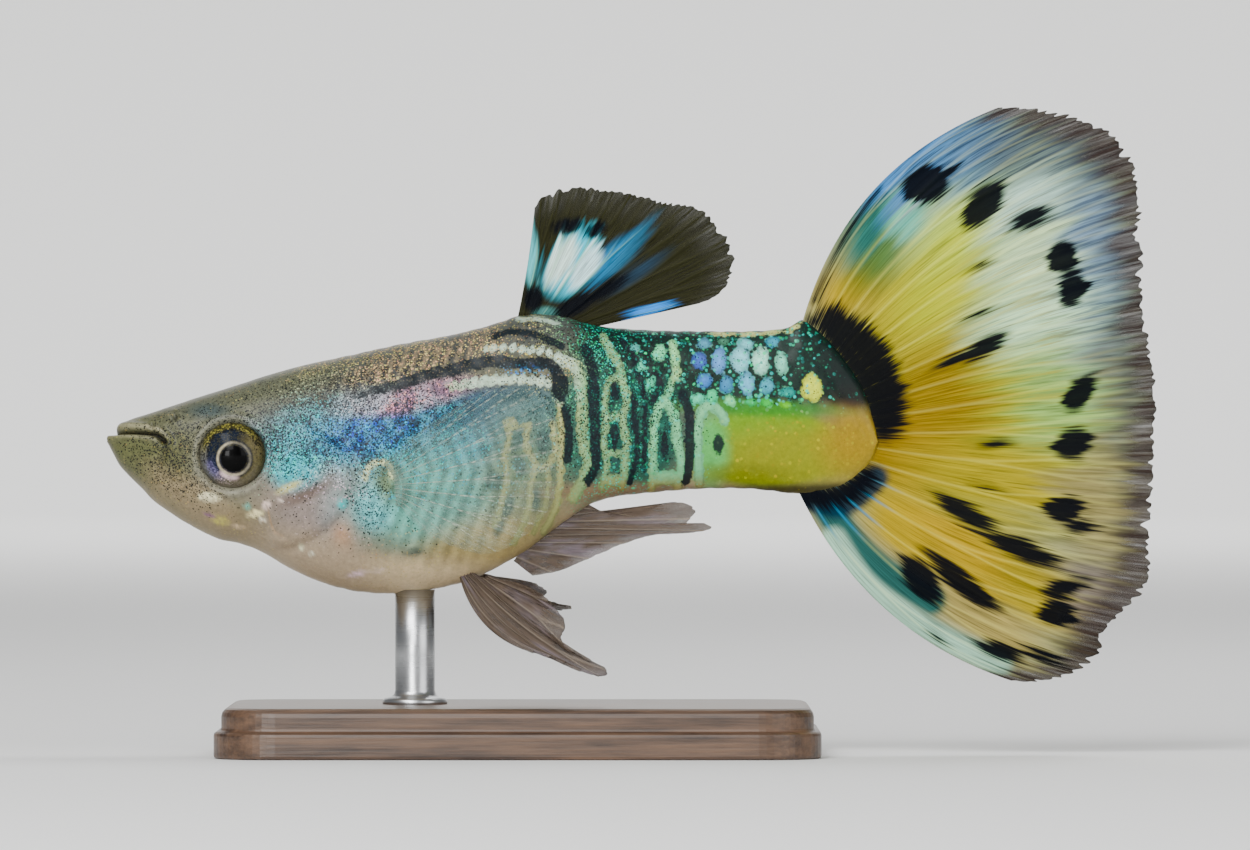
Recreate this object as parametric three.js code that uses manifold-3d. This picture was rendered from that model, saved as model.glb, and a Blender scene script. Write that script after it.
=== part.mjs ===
// Male fancy guppy, life size, resting on a plain display stand.
// Millimetres, Z up. The fish faces -X and shows its left side to -Y; Z = 0 is the underside of the base.
import * as THREE from "three";
import Module from "manifold-3d";

const wasm = await Module();
wasm.setup();

// Driving sizes
const partGap = 0.3;
const shortestEdge = 0.005;
const bodyAround = 32;
const bodyStep = 0.62;
const endSteps = [0.02, 0.1, 0.25, 0.48, 0.8, 1.2, 1.7];
const snoutX = -21.06;
const stalkEndX = 9.76;
const tipZ = 12.48;

// side view of the body: back line and belly line as [x, z]
const backLine = [
  [-21.06, 12.48], [-20.98, 12.74], [-20.8, 12.9], [-20.36, 13.24], [-20, 13.42],
  [-19.32, 13.64], [-18.68, 13.86], [-17.4, 14.28], [-16.16, 14.66], [-14.8, 15.1],
  [-13.36, 15.52], [-11.36, 15.96], [-9.36, 16.4], [-7.36, 16.76], [-5.76, 17.16],
  [-4.64, 17.52], [-3.56, 17.6], [-2.56, 17.44], [-1.36, 17.12], [0.64, 16.96], [2.64, 16.92],
  [4.64, 16.92], [6.04, 17.04], [6.76, 17.36], [7.52, 16.84], [8.24, 16.08], [9.12, 14.76],
  [9.56, 13.44], [9.76, 12.48],
];
const bellyLine = [
  [-21.06, 12.48], [-20.86, 12.1], [-20.6, 11.6], [-20.28, 11.22], [-19.64, 10.58],
  [-19.14, 10.08], [-18, 9.3], [-16.72, 8.64], [-15.76, 8.42], [-14.92, 8.1], [-13.72, 7.4],
  [-12.32, 6.8], [-10.96, 6.48], [-9.36, 6.42], [-7.76, 6.64], [-6.56, 6.96], [-5.36, 7.52],
  [-4.16, 8.24], [-2.96, 9.16], [-1.76, 9.96], [-0.76, 10.28], [0.64, 10.44], [2.64, 10.6],
  [4.64, 10.6], [6.64, 10.4], [7.76, 10.56], [8.56, 10.84], [9.44, 11.6], [9.76, 12.48],
];
// half of the body's width, as [x, half width]
const halfWidths = [
  [-21.06, 0.55], [-20.9, 0.9], [-20.5, 1.25], [-19.9, 1.55], [-19.1, 1.86], [-18, 2.16],
  [-16.5, 2.45], [-15, 2.58], [-13, 2.66], [-11, 2.74], [-8.5, 2.72], [-6, 2.42], [-3.5, 2.02],
  [-1, 1.66], [2, 1.36], [5, 1.12], [7, 0.92], [8.4, 0.7], [9.3, 0.5], [9.76, 0.38],
];
// how far up the section its widest place lies, as [x, share of the height]
const widestShare = [[-21.06, 0.5], [-18, 0.56], [-14, 0.55], [-9, 0.5], [-3, 0.52], [9.76, 0.5]];
const upperFullness = [[-21.06, 2.6], [-16, 2.7], [-12, 2.4], [-6, 2.15], [9.76, 2.05]];
const lowerFullness = 2.1;
const clearOfBody = 6;

// cuts that part the body
const headEndTop = [-11.2, 18];
const headEndFoot = [-10.3, 5];
const stalkStartTop = [-0.7, 18];
const stalkStartFoot = [-1.1, 5];
const mouthLine = [
  [-21.5, 12.84], [-20.85, 12.86], [-20.28, 12.94], [-19.56, 12.88], [-19, 12.7], [-18.74, 12.3],
  [-18.84, 11.36], [-19.36, 9.0],
];
const lipRadius = 0.26;
const lipCornerX = -18.95;
const nostrilSpots = [[-19.2, 13.1], [-18.3, 13.5]];
const nostrilRadius = 0.17;

// gill cover, seen from the side
const gillOutline = [
  [-13.68, 13.04], [-12.48, 12.88], [-11.6, 12.16], [-11.2, 11.04], [-11.4, 10.04],
  [-12.04, 9.2], [-13.24, 8.44], [-14.48, 8.3], [-14.62, 9.36], [-14.54, 10.4], [-14.2, 12.0],
];
const gillRise = 0.12;
const gillDepth = 0.6;
const gillFrom = -16.5;
const gillTo = -10.6;

// eye
const eyeCentre = [-15.98, 11.96];
const eyeRadius = 1.34;
const eyeHalfDepth = 0.86;
const eyeProud = 0.3;
const pupilRadius = 0.54;

// fins: root curve, rim curve, how far the rays bow at the first and last, rays, halves of the thickness
const membraneHalf = 0.25;
const rayRise = 0.13;
const tipHalf = 0.14;
const rootInset = 0.07;

const caudalFin = {
  root: [
    [6.76, 17.36], [8.24, 16.08], [9.12, 14.76], [9.56, 13.36], [9.68, 12.56], [9.4, 11.64],
    [8.56, 10.84], [6.64, 10.4],
  ],
  rim: [
    [14.64, 25.88], [16.24, 25.84], [17.84, 25.52], [19.24, 24.8], [20.04, 23.76], [20.32, 22.16],
    [20.4, 20.16], [20.48, 18.16], [20.72, 16.36], [21.04, 14.76], [20.88, 12.96], [20.92, 10.96],
    [20.68, 8.96], [20.72, 7.16], [20.04, 5.96], [18.88, 4.88], [18.64, 3.84], [17.12, 3.04],
    [15.64, 2.76],
  ],
  bow: [-0.25, 0.22],
  rays: 17,
  branchAt: 0.42,
  rows: 13,
};
const dorsalFin = {
  root: [[-4.64, 17.52], [-3.76, 17.64], [-2.56, 17.44], [-1.36, 17.12]],
  rim: [
    [-3.96, 21.96], [-3.56, 22.36], [-2.72, 22.68], [-1.56, 22.7], [-0.04, 22.44], [1.44, 22.12],
    [2.6, 21.88], [3.28, 21.32], [3.8, 20.64], [4.08, 19.68], [3.92, 19.12], [3.52, 18.44],
    [2.64, 18.04],
  ],
  bow: [0.03, 0],
  rays: 8,
  branchAt: 0.5,
  rows: 9,
};
const pelvicFin = {
  root: [[-6.92, 6.92], [-5.76, 7.08]],
  rim: [
    [-4.32, 4.2], [-2.98, 3.8], [-1.88, 3.28], [-1.06, 3.12], [-1.06, 3.4], [-1.52, 3.64],
    [-2.24, 4], [-2.68, 4.16], [-2.84, 4.6], [-2.72, 5.28], [-2.98, 5.64], [-3.36, 6.08],
    [-3.72, 6.44],
  ],
  bow: [0.25, -0.1],
  rays: 6,
  branchAt: 2,
  rows: 8,
};
const analFin = {
  root: [[-4.76, 7.68], [-4.16, 8.24], [-2.96, 9.16], [-1.76, 9.96]],
  rim: [
    [-4.04, 7.12], [-2.96, 7.32], [-1.88, 7.76], [-0.76, 8.24], [0.2, 8.6], [1.04, 8.78],
    [1.68, 8.8], [2.64, 8.88], [3.16, 9.04], [2.84, 9.24], [2.2, 9.2], [2.4, 9.52], [2.56, 9.76],
    [2.16, 10.04], [1.52, 10.08], [1.08, 9.96], [0.36, 9.56], [-0.76, 9.4],
  ],
  bow: [0, 0],
  rays: 8,
  branchAt: 2,
  rows: 9,
};
const pectoralFin = {
  root: [[-9.88, 11.68], [-9.48, 10.96], [-9.36, 9.96]],
  rim: [
    [-8.16, 13.16], [-6.04, 14.44], [-4.28, 14.72], [-3.36, 14.16], [-2.96, 12.96], [-2.88, 11.36],
    [-3.36, 9.76], [-4.56, 8.56], [-6.04, 8.04], [-8.16, 8.76],
  ],
  bow: [0, 0],
  rays: 10,
  branchAt: 2,
  rows: 9,
};
const tailWave = 0.45;
const tailWaveTurn = 0.42;
const dorsalLean = 0.25;
const pectoralSpread = 2.5;
const pectoralStart = 2.15;
const pectoralBend = 0.24;
const pelvicSplay = 0.9;
const pelvicRootMiddle = [-6.36, 7];
const pelvicRootHalfSpan = 0.75;
const farPelvicTurn = [70, 20];

// stand
const baseLength = 24;
const baseDepth = 16;
const baseHeight = 2;
const baseCentreX = -4.6;
const baseCorner = 2.5;
const baseBevel = 0.35;
const rodX = -8.76;
const rodRadius = 0.8;
const rodSeat = 1;

// Smooth curve through points; each point's slope comes from its two neighbours.
function smoothCurve(points, perSpan) {
  const out = [];
  const last = points.length - 1;
  for (let i = 0; i < last; i += 1) {
    const a = points[Math.max(i - 1, 0)];
    const b = points[i];
    const c = points[i + 1];
    const d = points[Math.min(i + 2, last)];
    for (let k = 0; k < perSpan; k += 1) {
      const t = k / perSpan;
      const blend = (n) => 0.5 * (2 * b[n] + (c[n] - a[n]) * t
        + (2 * a[n] - 5 * b[n] + 4 * c[n] - d[n]) * t * t
        + (3 * b[n] - a[n] - 3 * c[n] + d[n]) * t * t * t);
      out.push([blend(0), blend(1)]);
    }
  }
  out.push([...points[last]]);
  return out;
}

// Second value of a curve where its first is x.
function heightAt(curve, x) {
  if (x <= curve[0][0]) {
    return curve[0][1];
  }
  for (let i = 1; i < curve.length; i += 1) {
    if (curve[i][0] >= x) {
      const a = curve[i - 1];
      const b = curve[i];
      const t = (x - a[0]) / Math.max(b[0] - a[0], 1e-9);
      return a[1] + (b[1] - a[1]) * t;
    }
  }
  return curve[curve.length - 1][1];
}

// Points of a smooth curve at the given shares of its length.
function placeAlong(points, shares) {
  const curve = smoothCurve(points, 16);
  const run = [0];
  for (let i = 1; i < curve.length; i += 1) {
    run.push(run[i - 1] + Math.hypot(curve[i][0] - curve[i - 1][0], curve[i][1] - curve[i - 1][1]));
  }
  const whole = run[run.length - 1];
  return shares.map((share) => {
    const want = share * whole;
    let i = 1;
    while (i < run.length - 1 && run[i] < want) {
      i += 1;
    }
    const t = (want - run[i - 1]) / (run[i] - run[i - 1]);
    return [
      curve[i - 1][0] + (curve[i][0] - curve[i - 1][0]) * t,
      curve[i - 1][1] + (curve[i][1] - curve[i - 1][1]) * t,
    ];
  });
}

const backCurve = smoothCurve(backLine, 10);
const bellyCurve = smoothCurve(bellyLine, 10);
const widthCurve = smoothCurve(halfWidths, 10);
const shareCurve = smoothCurve(widestShare, 8);
const fullCurve = smoothCurve(upperFullness, 8);

// Closed solid from points and triangles, turned the right way out.
function makeSolid(points, faces) {
  const vertProperties = new Float32Array(points.flat());
  const triVerts = new Uint32Array(faces.flat());
  const mesh = new wasm.Mesh({ numProp: 3, vertProperties, triVerts });
  mesh.merge();
  const made = new wasm.Manifold(mesh);
  if (made.volume() > 0) {
    return made;
  }
  const turned = faces.map((f) => [f[0], f[2], f[1]]);
  const again = new wasm.Mesh({ numProp: 3, vertProperties, triVerts: new Uint32Array(turned.flat()) });
  again.merge();
  return new wasm.Manifold(again);
}

function biggest(solid) {
  const pieces = solid.decompose();
  pieces.sort((a, b) => b.volume() - a.volume());
  return pieces[0];
}

// Section of the body at x, enlarged all round by grow.
function sectionAt(x, grow) {
  const top = heightAt(backCurve, x);
  const foot = heightAt(bellyCurve, x);
  const share = heightAt(shareCurve, x);
  const middle = foot + (top - foot) * share;
  return {
    middle,
    up: Math.max(top - middle + grow, 0.02),
    down: Math.max(middle - foot + grow, 0.02),
    half: Math.max(heightAt(widthCurve, x) + grow, 0.02),
    full: heightAt(fullCurve, x),
  };
}

// Half width of the body at a place in side view.
function flankAt(x, z) {
  const s = sectionAt(x, 0);
  const up = z > s.middle;
  const power = up ? s.full : lowerFullness;
  const rise = Math.min(Math.abs(z - s.middle) / (up ? s.up : s.down), 1);
  return s.half * (1 - rise ** power) ** (1 / power);
}

// Body as rings of |y/half|^p + |z/height|^p = 1, closed at both ends.
function bodySolid(grow, fromX, toX) {
  const start = fromX ?? snoutX;
  const end = toX ?? stalkEndX;
  const stations = [];
  if (fromX === undefined) {
    endSteps.forEach((step) => stations.push(start + step));
  } else {
    stations.push(start);
  }
  const tail = toX === undefined ? endSteps.map((step) => end - step).reverse() : [end];
  let x = stations[stations.length - 1] + bodyStep;
  while (x < tail[0] - bodyStep * 0.4) {
    stations.push(x);
    x += bodyStep;
  }
  stations.push(...tail);
  const points = [];
  const faces = [];
  stations.forEach((at) => {
    const s = sectionAt(at, grow);
    const headward = Math.max(0, 1 - (at - snoutX) / 1.5);
    const tailward = Math.max(0, 1 - (stalkEndX - at) / 1.5);
    for (let k = 0; k < bodyAround; k += 1) {
      const angle = (k / bodyAround) * Math.PI * 2;
      const c = Math.cos(angle);
      const n = Math.sin(angle);
      const power = n > 0 ? s.full : lowerFullness;
      const y = s.half * Math.sign(c) * Math.abs(c) ** (2 / power);
      const z = (n > 0 ? s.up : s.down) * Math.sign(n) * Math.abs(n) ** (2 / power);
      points.push([at + grow * (tailward - headward), y, s.middle + z]);
    }
  });
  for (let i = 0; i < stations.length - 1; i += 1) {
    for (let k = 0; k < bodyAround; k += 1) {
      const a = i * bodyAround + k;
      const b = i * bodyAround + ((k + 1) % bodyAround);
      faces.push([a, b, b + bodyAround], [a, b + bodyAround, a + bodyAround]);
    }
  }
  const first = points.length;
  const startSection = sectionAt(start, grow);
  const endSection = sectionAt(end, grow);
  points.push([start - (fromX === undefined ? grow : 0), 0, startSection.middle]);
  points.push([end + (toX === undefined ? grow : 0), 0, endSection.middle]);
  const lastRing = (stations.length - 1) * bodyAround;
  for (let k = 0; k < bodyAround; k += 1) {
    const next = (k + 1) % bodyAround;
    faces.push([first, next, k], [first + 1, lastRing + k, lastRing + next]);
  }
  return makeSolid(points, faces);
}

// Upright prism: an outline in side view carried from y = near to y = far.
function prism(outline, near, far) {
  const shape = outline.map((p) => new THREE.Vector2(p[0], p[1]));
  const flats = THREE.ShapeUtils.triangulateShape(shape, []);
  const count = outline.length;
  const points = [];
  outline.forEach((p) => points.push([p[0], near, p[1]]));
  outline.forEach((p) => points.push([p[0], far, p[1]]));
  const faces = [];
  const area = THREE.ShapeUtils.area(shape);
  flats.forEach((f) => {
    faces.push([f[0], f[1], f[2]], [f[0] + count, f[2] + count, f[1] + count]);
  });
  for (let i = 0; i < count; i += 1) {
    const j = (i + 1) % count;
    if (area > 0) {
      faces.push([i, i + count, j + count], [i, j + count, j]);
    } else {
      faces.push([i, j + count, i + count], [i, j, j + count]);
    }
  }
  return makeSolid(points, faces);
}

// Thin wall that follows a line in side view, partGap thick, right across the body.
function wallAlong(line) {
  const left = [];
  const right = [];
  line.forEach((p, i) => {
    const a = line[Math.max(i - 1, 0)];
    const b = line[Math.min(i + 1, line.length - 1)];
    const long = Math.hypot(b[0] - a[0], b[1] - a[1]);
    const nx = (-(b[1] - a[1]) / long) * partGap * 0.5;
    const nz = ((b[0] - a[0]) / long) * partGap * 0.5;
    left.push([p[0] + nx, p[1] + nz]);
    right.push([p[0] - nx, p[1] - nz]);
  });
  return prism([...left, ...right.reverse()], -clearOfBody, clearOfBody);
}

// Outline moved outwards from its middle.
function grownOutline(outline, by) {
  const centre = [0, 0];
  outline.forEach((p) => {
    centre[0] += p[0] / outline.length;
    centre[1] += p[1] / outline.length;
  });
  return outline.map((p) => {
    const long = Math.hypot(p[0] - centre[0], p[1] - centre[1]);
    const k = (long + by) / long;
    return [centre[0] + (p[0] - centre[0]) * k, centre[1] + (p[1] - centre[1]) * k];
  });
}

// Flattened ball with its short axis along y.
function eyeBall(side, grow) {
  const centreY = flankAt(eyeCentre[0], eyeCentre[1]) + eyeProud - eyeHalfDepth;
  const geometry = new THREE.SphereGeometry(1, 22, 13);
  geometry.rotateX(Math.PI / 2);
  geometry.scale(eyeRadius + grow, eyeHalfDepth + grow, eyeRadius + grow);
  geometry.translate(eyeCentre[0], side * centreY, eyeCentre[1]);
  return fromGeometry(geometry);
}

// Solid from a three.js geometry, with its shared corners merged.
function fromGeometry(geometry) {
  const flat = geometry.index ? geometry.toNonIndexed() : geometry;
  const at = flat.getAttribute("position");
  const points = [];
  const faces = [];
  const seen = new Map();
  const index = [];
  for (let i = 0; i < at.count; i += 1) {
    const p = [at.getX(i), at.getY(i), at.getZ(i)];
    const key = p.map((v) => Math.round(v * 5000)).join();
    if (!seen.has(key)) {
      seen.set(key, points.length);
      points.push(p);
    }
    index.push(seen.get(key));
  }
  for (let i = 0; i < index.length; i += 3) {
    const f = [index[i], index[i + 1], index[i + 2]];
    if (f[0] !== f[1] && f[1] !== f[2] && f[0] !== f[2]) {
      faces.push(f);
    }
  }
  return makeSolid(points, faces);
}

// Round bar of the given radius bent along a line of points.
function bar(line, radius, around) {
  const path = new THREE.CatmullRomCurve3(line.map((p) => new THREE.Vector3(...p)));
  const ring = new THREE.Shape();
  for (let k = 0; k < around; k += 1) {
    const a = (k / around) * Math.PI * 2;
    ring[k ? "lineTo" : "moveTo"](radius * Math.cos(a), radius * Math.sin(a));
  }
  ring.closePath();
  return fromGeometry(new THREE.ExtrudeGeometry(ring, {
    steps: line.length * 2,
    bevelEnabled: false,
    extrudePath: path,
  }));
}

// A fin is a sheet between its root and its rim. Each ray is a raised rib that may part into two.
// Every ray owns four columns: first branch, the valley between, second branch, and the membrane.
function finSolid(fin, sideways) {
  const branches = fin.branchAt < 1;
  const owned = branches ? 4 : 2;
  const columns = [];
  for (let r = 0; r < fin.rays; r += 1) {
    const last = r === fin.rays - 1;
    const slots = last ? owned - 1 : owned;
    for (let k = 0; k < slots; k += 1) {
      columns.push({ ray: r, slot: k });
    }
  }
  const wide = 1 / (fin.rays - 0.25);
  const shareOf = (column, u) => {
    const base = column.ray * wide;
    if (!branches) {
      return base + (column.slot ? 0.5 * wide : 0);
    }
    const open = THREE.MathUtils.smoothstep(u, fin.branchAt - 0.12, fin.branchAt + 0.45);
    const spread = (0.13 + 0.12 * open) * wide;
    const middle = base + 0.25 * wide;
    return [middle - spread, middle, middle + spread, base + 0.75 * wide][column.slot];
  };
  const low = shareOf(columns[0], 1);
  const high = shareOf(columns[columns.length - 1], 1);
  const points = [[], []];
  const rows = fin.rows;
  for (let j = 0; j <= rows; j += 1) {
    const u = -rootInset + (j / rows) * (1 + rootInset);
    const shares = columns.map((column) => {
      const share = (shareOf(column, u) - low) / (high - low);
      return Math.min(Math.max(share, 0), 1);
    });
    const roots = placeAlong(fin.root, shares);
    const rims = placeAlong(fin.rim, shares);
    columns.forEach((column, c) => {
      const v = shares[c];
      const valley = branches ? column.slot === 3 : column.slot === 1;
      const notch = valley ? 0.965 : (column.slot === 1 && branches ? 0.985 : 1);
      const t = u > 0 ? u * notch : u;
      const a = roots[c];
      const b = rims[c];
      const bow = fin.bow[0] + (fin.bow[1] - fin.bow[0]) * v;
      const mx = (a[0] + b[0]) / 2 + (b[1] - a[1]) * bow;
      const mz = (a[1] + b[1]) / 2 - (b[0] - a[0]) * bow;
      const x = (1 - t) ** 2 * a[0] + 2 * t * (1 - t) * mx + t * t * b[0];
      const z = (1 - t) ** 2 * a[1] + 2 * t * (1 - t) * mz + t * t * b[1];
      const between = branches && column.slot === 1;
      const parted = THREE.MathUtils.smoothstep(u, fin.branchAt, fin.branchAt + 0.2);
      const rise = valley ? 0 : rayRise * (between ? 1 - parted : 1);
      const thin = THREE.MathUtils.smoothstep(u, 0.8, 1);
      const half = (membraneHalf + rise) * (1 - thin) + (tipHalf + rise * 0.3) * thin;
      const y = sideways(x, z, t, v);
      points[0].push([x, y - half, z]);
      points[1].push([x, y + half, z]);
    });
  }
  const wideCount = columns.length;
  const all = [...points[0], ...points[1]];
  const shift = points[0].length;
  const faces = [];
  for (let j = 0; j < rows; j += 1) {
    for (let c = 0; c < wideCount - 1; c += 1) {
      const a = j * wideCount + c;
      const b = a + 1;
      const d = a + wideCount;
      const e = d + 1;
      const turn = (j + c) % 2 === 0;
      const pair = turn ? [[a, b, e], [a, e, d]] : [[a, b, d], [b, e, d]];
      pair.forEach((f) => {
        faces.push(f, [f[0] + shift, f[2] + shift, f[1] + shift]);
      });
    }
  }
  const loop = [];
  for (let c = 0; c < wideCount; c += 1) {
    loop.push(c);
  }
  for (let j = 1; j <= rows; j += 1) {
    loop.push(j * wideCount + wideCount - 1);
  }
  for (let c = wideCount - 2; c >= 0; c -= 1) {
    loop.push(rows * wideCount + c);
  }
  for (let j = rows - 1; j > 0; j -= 1) {
    loop.push(j * wideCount);
  }
  loop.forEach((a, i) => {
    const b = loop[(i + 1) % loop.length];
    faces.push([a, b + shift, b], [a, a + shift, b + shift]);
  });
  return makeSolid(all, faces);
}

// The fish
const wholeBody = bodySolid(0);
const clearBody = bodySolid(partGap);
const headWall = [headEndTop, headEndFoot];
const stalkWall = [stalkStartTop, stalkStartFoot];

// Everything behind a slanting cut across the body.
function behind(line, shift) {
  const past = stalkEndX + clearOfBody;
  const above = line[0][1] + clearOfBody;
  const below = line[1][1] - clearOfBody;
  return prism([
    [line[0][0] + shift, above], [past, above], [past, below], [line[1][0] + shift, below],
  ], -clearOfBody, clearOfBody);
}

const afterHead = behind(headWall, partGap / 2);
const upToHead = behind(headWall, -partGap / 2);
const afterTrunk = behind(stalkWall, partGap / 2);
const upToTrunk = behind(stalkWall, -partGap / 2);

let head = wholeBody.subtract(upToHead);
const trunk = biggest(wholeBody.intersect(afterHead).subtract(upToTrunk));
const tailStalk = biggest(wholeBody.intersect(afterTrunk));

// lips: a rounded bar along each edge of the mouth, from corner to corner round the snout
function lipBar(drop) {
  const stops = 7;
  const front = snoutX + 0.1;
  const line = [];
  for (let i = -stops; i <= stops; i += 1) {
    const s = Math.abs(i) / stops;
    const x = front + (lipCornerX - front) * (1 - Math.cos((s * Math.PI) / 2));
    const z = heightAt(smoothCurve(mouthLine.slice(0, 5), 6), x) + drop;
    const y = Math.sign(i) * flankAt(x, z) * Math.min(1, 0.15 + s * 6);
    line.push([x + 0.03 * (1 - s), i === 0 ? 0 : y * 0.97, z]);
  }
  return bar(line, lipRadius, 8);
}

head = head.add(lipBar(lipRadius * 0.95));
head = head.add(lipBar(-lipRadius * 0.95));
const jawOutline = [...mouthLine, [-24, 9], [-24, 12.84]];
const jawZone = prism(jawOutline, -clearOfBody, clearOfBody);
const mouthWall = wallAlong(mouthLine);
const lowerJaw = biggest(head.intersect(jawZone).subtract(mouthWall));
head = head.subtract(jawZone).subtract(mouthWall);
for (const side of [-1, 1]) {
  head = head.subtract(eyeBall(side, partGap));
  nostrilSpots.forEach((spot) => {
    const pit = new THREE.SphereGeometry(nostrilRadius, 8, 6);
    pit.translate(spot[0], side * flankAt(spot[0], spot[1]), spot[1]);
    head = head.subtract(fromGeometry(pit));
  });
}
const gillCurve = smoothCurve([...gillOutline, gillOutline[0]], 3).slice(0, -1);
const gillInside = bodySolid(-gillDepth, gillFrom - 1, gillTo + 1);
const gillSkin = bodySolid(gillRise, gillFrom, gillTo).subtract(gillInside);
const gillBed = bodySolid(-gillDepth - partGap, gillFrom - 1, gillTo + 1);
const gillCovers = {};
for (const side of [-1, 1]) {
  const near = side < 0 ? -clearOfBody : gillDepth;
  const away = side < 0 ? -gillDepth : clearOfBody;
  gillCovers[side] = biggest(gillSkin.intersect(prism(gillCurve, near, away)));
  const recess = prism(grownOutline(gillCurve, partGap), near, away).subtract(gillBed);
  head = head.subtract(recess);
}
head = biggest(head);

// eyes, each with a shallow round pupil standing a little proud
function eyeSolid(side) {
  const centreY = flankAt(eyeCentre[0], eyeCentre[1]) + eyeProud - eyeHalfDepth;
  const lens = new THREE.SphereGeometry(pupilRadius, 16, 8);
  lens.rotateX(Math.PI / 2);
  lens.scale(1, 0.35, 1);
  lens.translate(eyeCentre[0] + 0.08, side * (centreY + eyeHalfDepth - 0.1), eyeCentre[1] - 0.14);
  return biggest(eyeBall(side, 0).add(fromGeometry(lens)));
}

// fins
const middlePlane = () => 0;
const tailPlane = (x, z, u) => tailWave * Math.sin((z - tipZ) * tailWaveTurn) * Math.max(u, 0) ** 1.3;
const dorsalPlane = (x, z, u) => -dorsalLean * Math.max(u, 0) ** 2;
const caudal = biggest(finSolid(caudalFin, tailPlane).subtract(clearBody));
const dorsal = biggest(finSolid(dorsalFin, dorsalPlane).subtract(clearBody));
const anal = biggest(finSolid(analFin, middlePlane).subtract(clearBody));
const pectorals = {};
const pelvics = {};
for (const side of [-1, 1]) {
  // away from the flank at once, then nearly level with it
  const outward = (x, z, u) => {
    const opened = 1 - Math.exp(-Math.max(u + 0.05, 0) / pectoralBend);
    return side * (pectoralStart + pectoralSpread * opened);
  };
  pectorals[side] = biggest(finSolid(pectoralFin, outward).subtract(clearBody));
}
const nearPelvicPlane = (x, z, u) => -(pelvicRootHalfSpan + pelvicSplay * Math.max(u, 0));
pelvics[-1] = biggest(finSolid(pelvicFin, nearPelvicPlane).subtract(clearBody));
// the far pelvic fin is the same fin, turned out from its root, so it looks shorter from this side
pelvics[1] = biggest(
  finSolid(pelvicFin, middlePlane)
    .translate([-pelvicRootMiddle[0], 0, -pelvicRootMiddle[1]])
    .rotate([farPelvicTurn[0], 0, farPelvicTurn[1]])
    .translate([pelvicRootMiddle[0], pelvicRootHalfSpan, pelvicRootMiddle[1]])
    .subtract(clearBody),
);

// The stand
function roundedSlab() {
  const hx = baseLength / 2 - baseBevel;
  const hy = baseDepth / 2 - baseBevel;
  const r = baseCorner;
  const shape = new THREE.Shape();
  shape.moveTo(-hx + r, -hy);
  shape.lineTo(hx - r, -hy);
  shape.absarc(hx - r, -hy + r, r, -Math.PI / 2, 0, false);
  shape.lineTo(hx, hy - r);
  shape.absarc(hx - r, hy - r, r, 0, Math.PI / 2, false);
  shape.lineTo(-hx + r, hy);
  shape.absarc(-hx + r, hy - r, r, Math.PI / 2, Math.PI, false);
  shape.lineTo(-hx, -hy + r);
  shape.absarc(-hx + r, -hy + r, r, Math.PI, Math.PI * 1.5, false);
  const slab = new THREE.ExtrudeGeometry(shape, {
    depth: baseHeight - 2 * baseBevel,
    bevelThickness: baseBevel,
    bevelSize: baseBevel,
    bevelSegments: 2,
    curveSegments: 5,
  });
  slab.translate(baseCentreX, 0, baseBevel);
  return fromGeometry(slab);
}

function uprightRod(radius, from, to) {
  const rod = new THREE.CylinderGeometry(radius, radius, to - from, 24);
  rod.rotateX(Math.PI / 2);
  rod.translate(rodX, 0, (from + to) / 2);
  return fromGeometry(rod);
}

const socket = uprightRod(rodRadius + partGap, baseHeight - rodSeat, baseHeight + 2);
const standBase = biggest(roundedSlab().subtract(socket));
const standRod = biggest(uprightRod(rodRadius, baseHeight - rodSeat + partGap, 9).subtract(clearBody));

// The model
const fish = new THREE.Group();

// Closes up edges too short to matter, so that no sliver is left where two surfaces cross.
function withoutSlivers(mesh) {
  const at = mesh.vertProperties;
  const owner = Array.from({ length: at.length / 3 }, (_, i) => i);
  const find = (i) => {
    let k = i;
    while (owner[k] !== k) {
      k = owner[k];
    }
    return k;
  };
  const tri = mesh.triVerts;
  for (let i = 0; i < tri.length; i += 3) {
    for (let k = 0; k < 3; k += 1) {
      const a = tri[i + k];
      const b = tri[i + ((k + 1) % 3)];
      const edge = [0, 1, 2].map((n) => at[3 * a + n] - at[3 * b + n]);
      if (Math.hypot(...edge) < shortestEdge) {
        owner[Math.max(find(a), find(b))] = Math.min(find(a), find(b));
      }
    }
  }
  const kept = new Map();
  for (let i = 0; i < tri.length; i += 3) {
    const f = [find(tri[i]), find(tri[i + 1]), find(tri[i + 2])];
    if (f[0] !== f[1] && f[1] !== f[2] && f[0] !== f[2]) {
      const key = [...f].sort((a, b) => a - b).join();
      if (kept.has(key)) {
        kept.delete(key);
      } else {
        kept.set(key, f);
      }
    }
  }
  return [...kept.values()].flat();
}

function addPart(name, solid, color, roughness, metalness) {
  const mesh = solid.simplify(0.003).getMesh();
  const geometry = new THREE.BufferGeometry();
  geometry.setAttribute("position", new THREE.BufferAttribute(mesh.vertProperties, 3));
  geometry.setIndex(withoutSlivers(mesh));
  geometry.computeVertexNormals();
  const material = new THREE.MeshStandardMaterial({ color, roughness, metalness: metalness ?? 0 });
  const part = new THREE.Mesh(geometry, material);
  part.name = name;
  fish.add(part);
}

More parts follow.
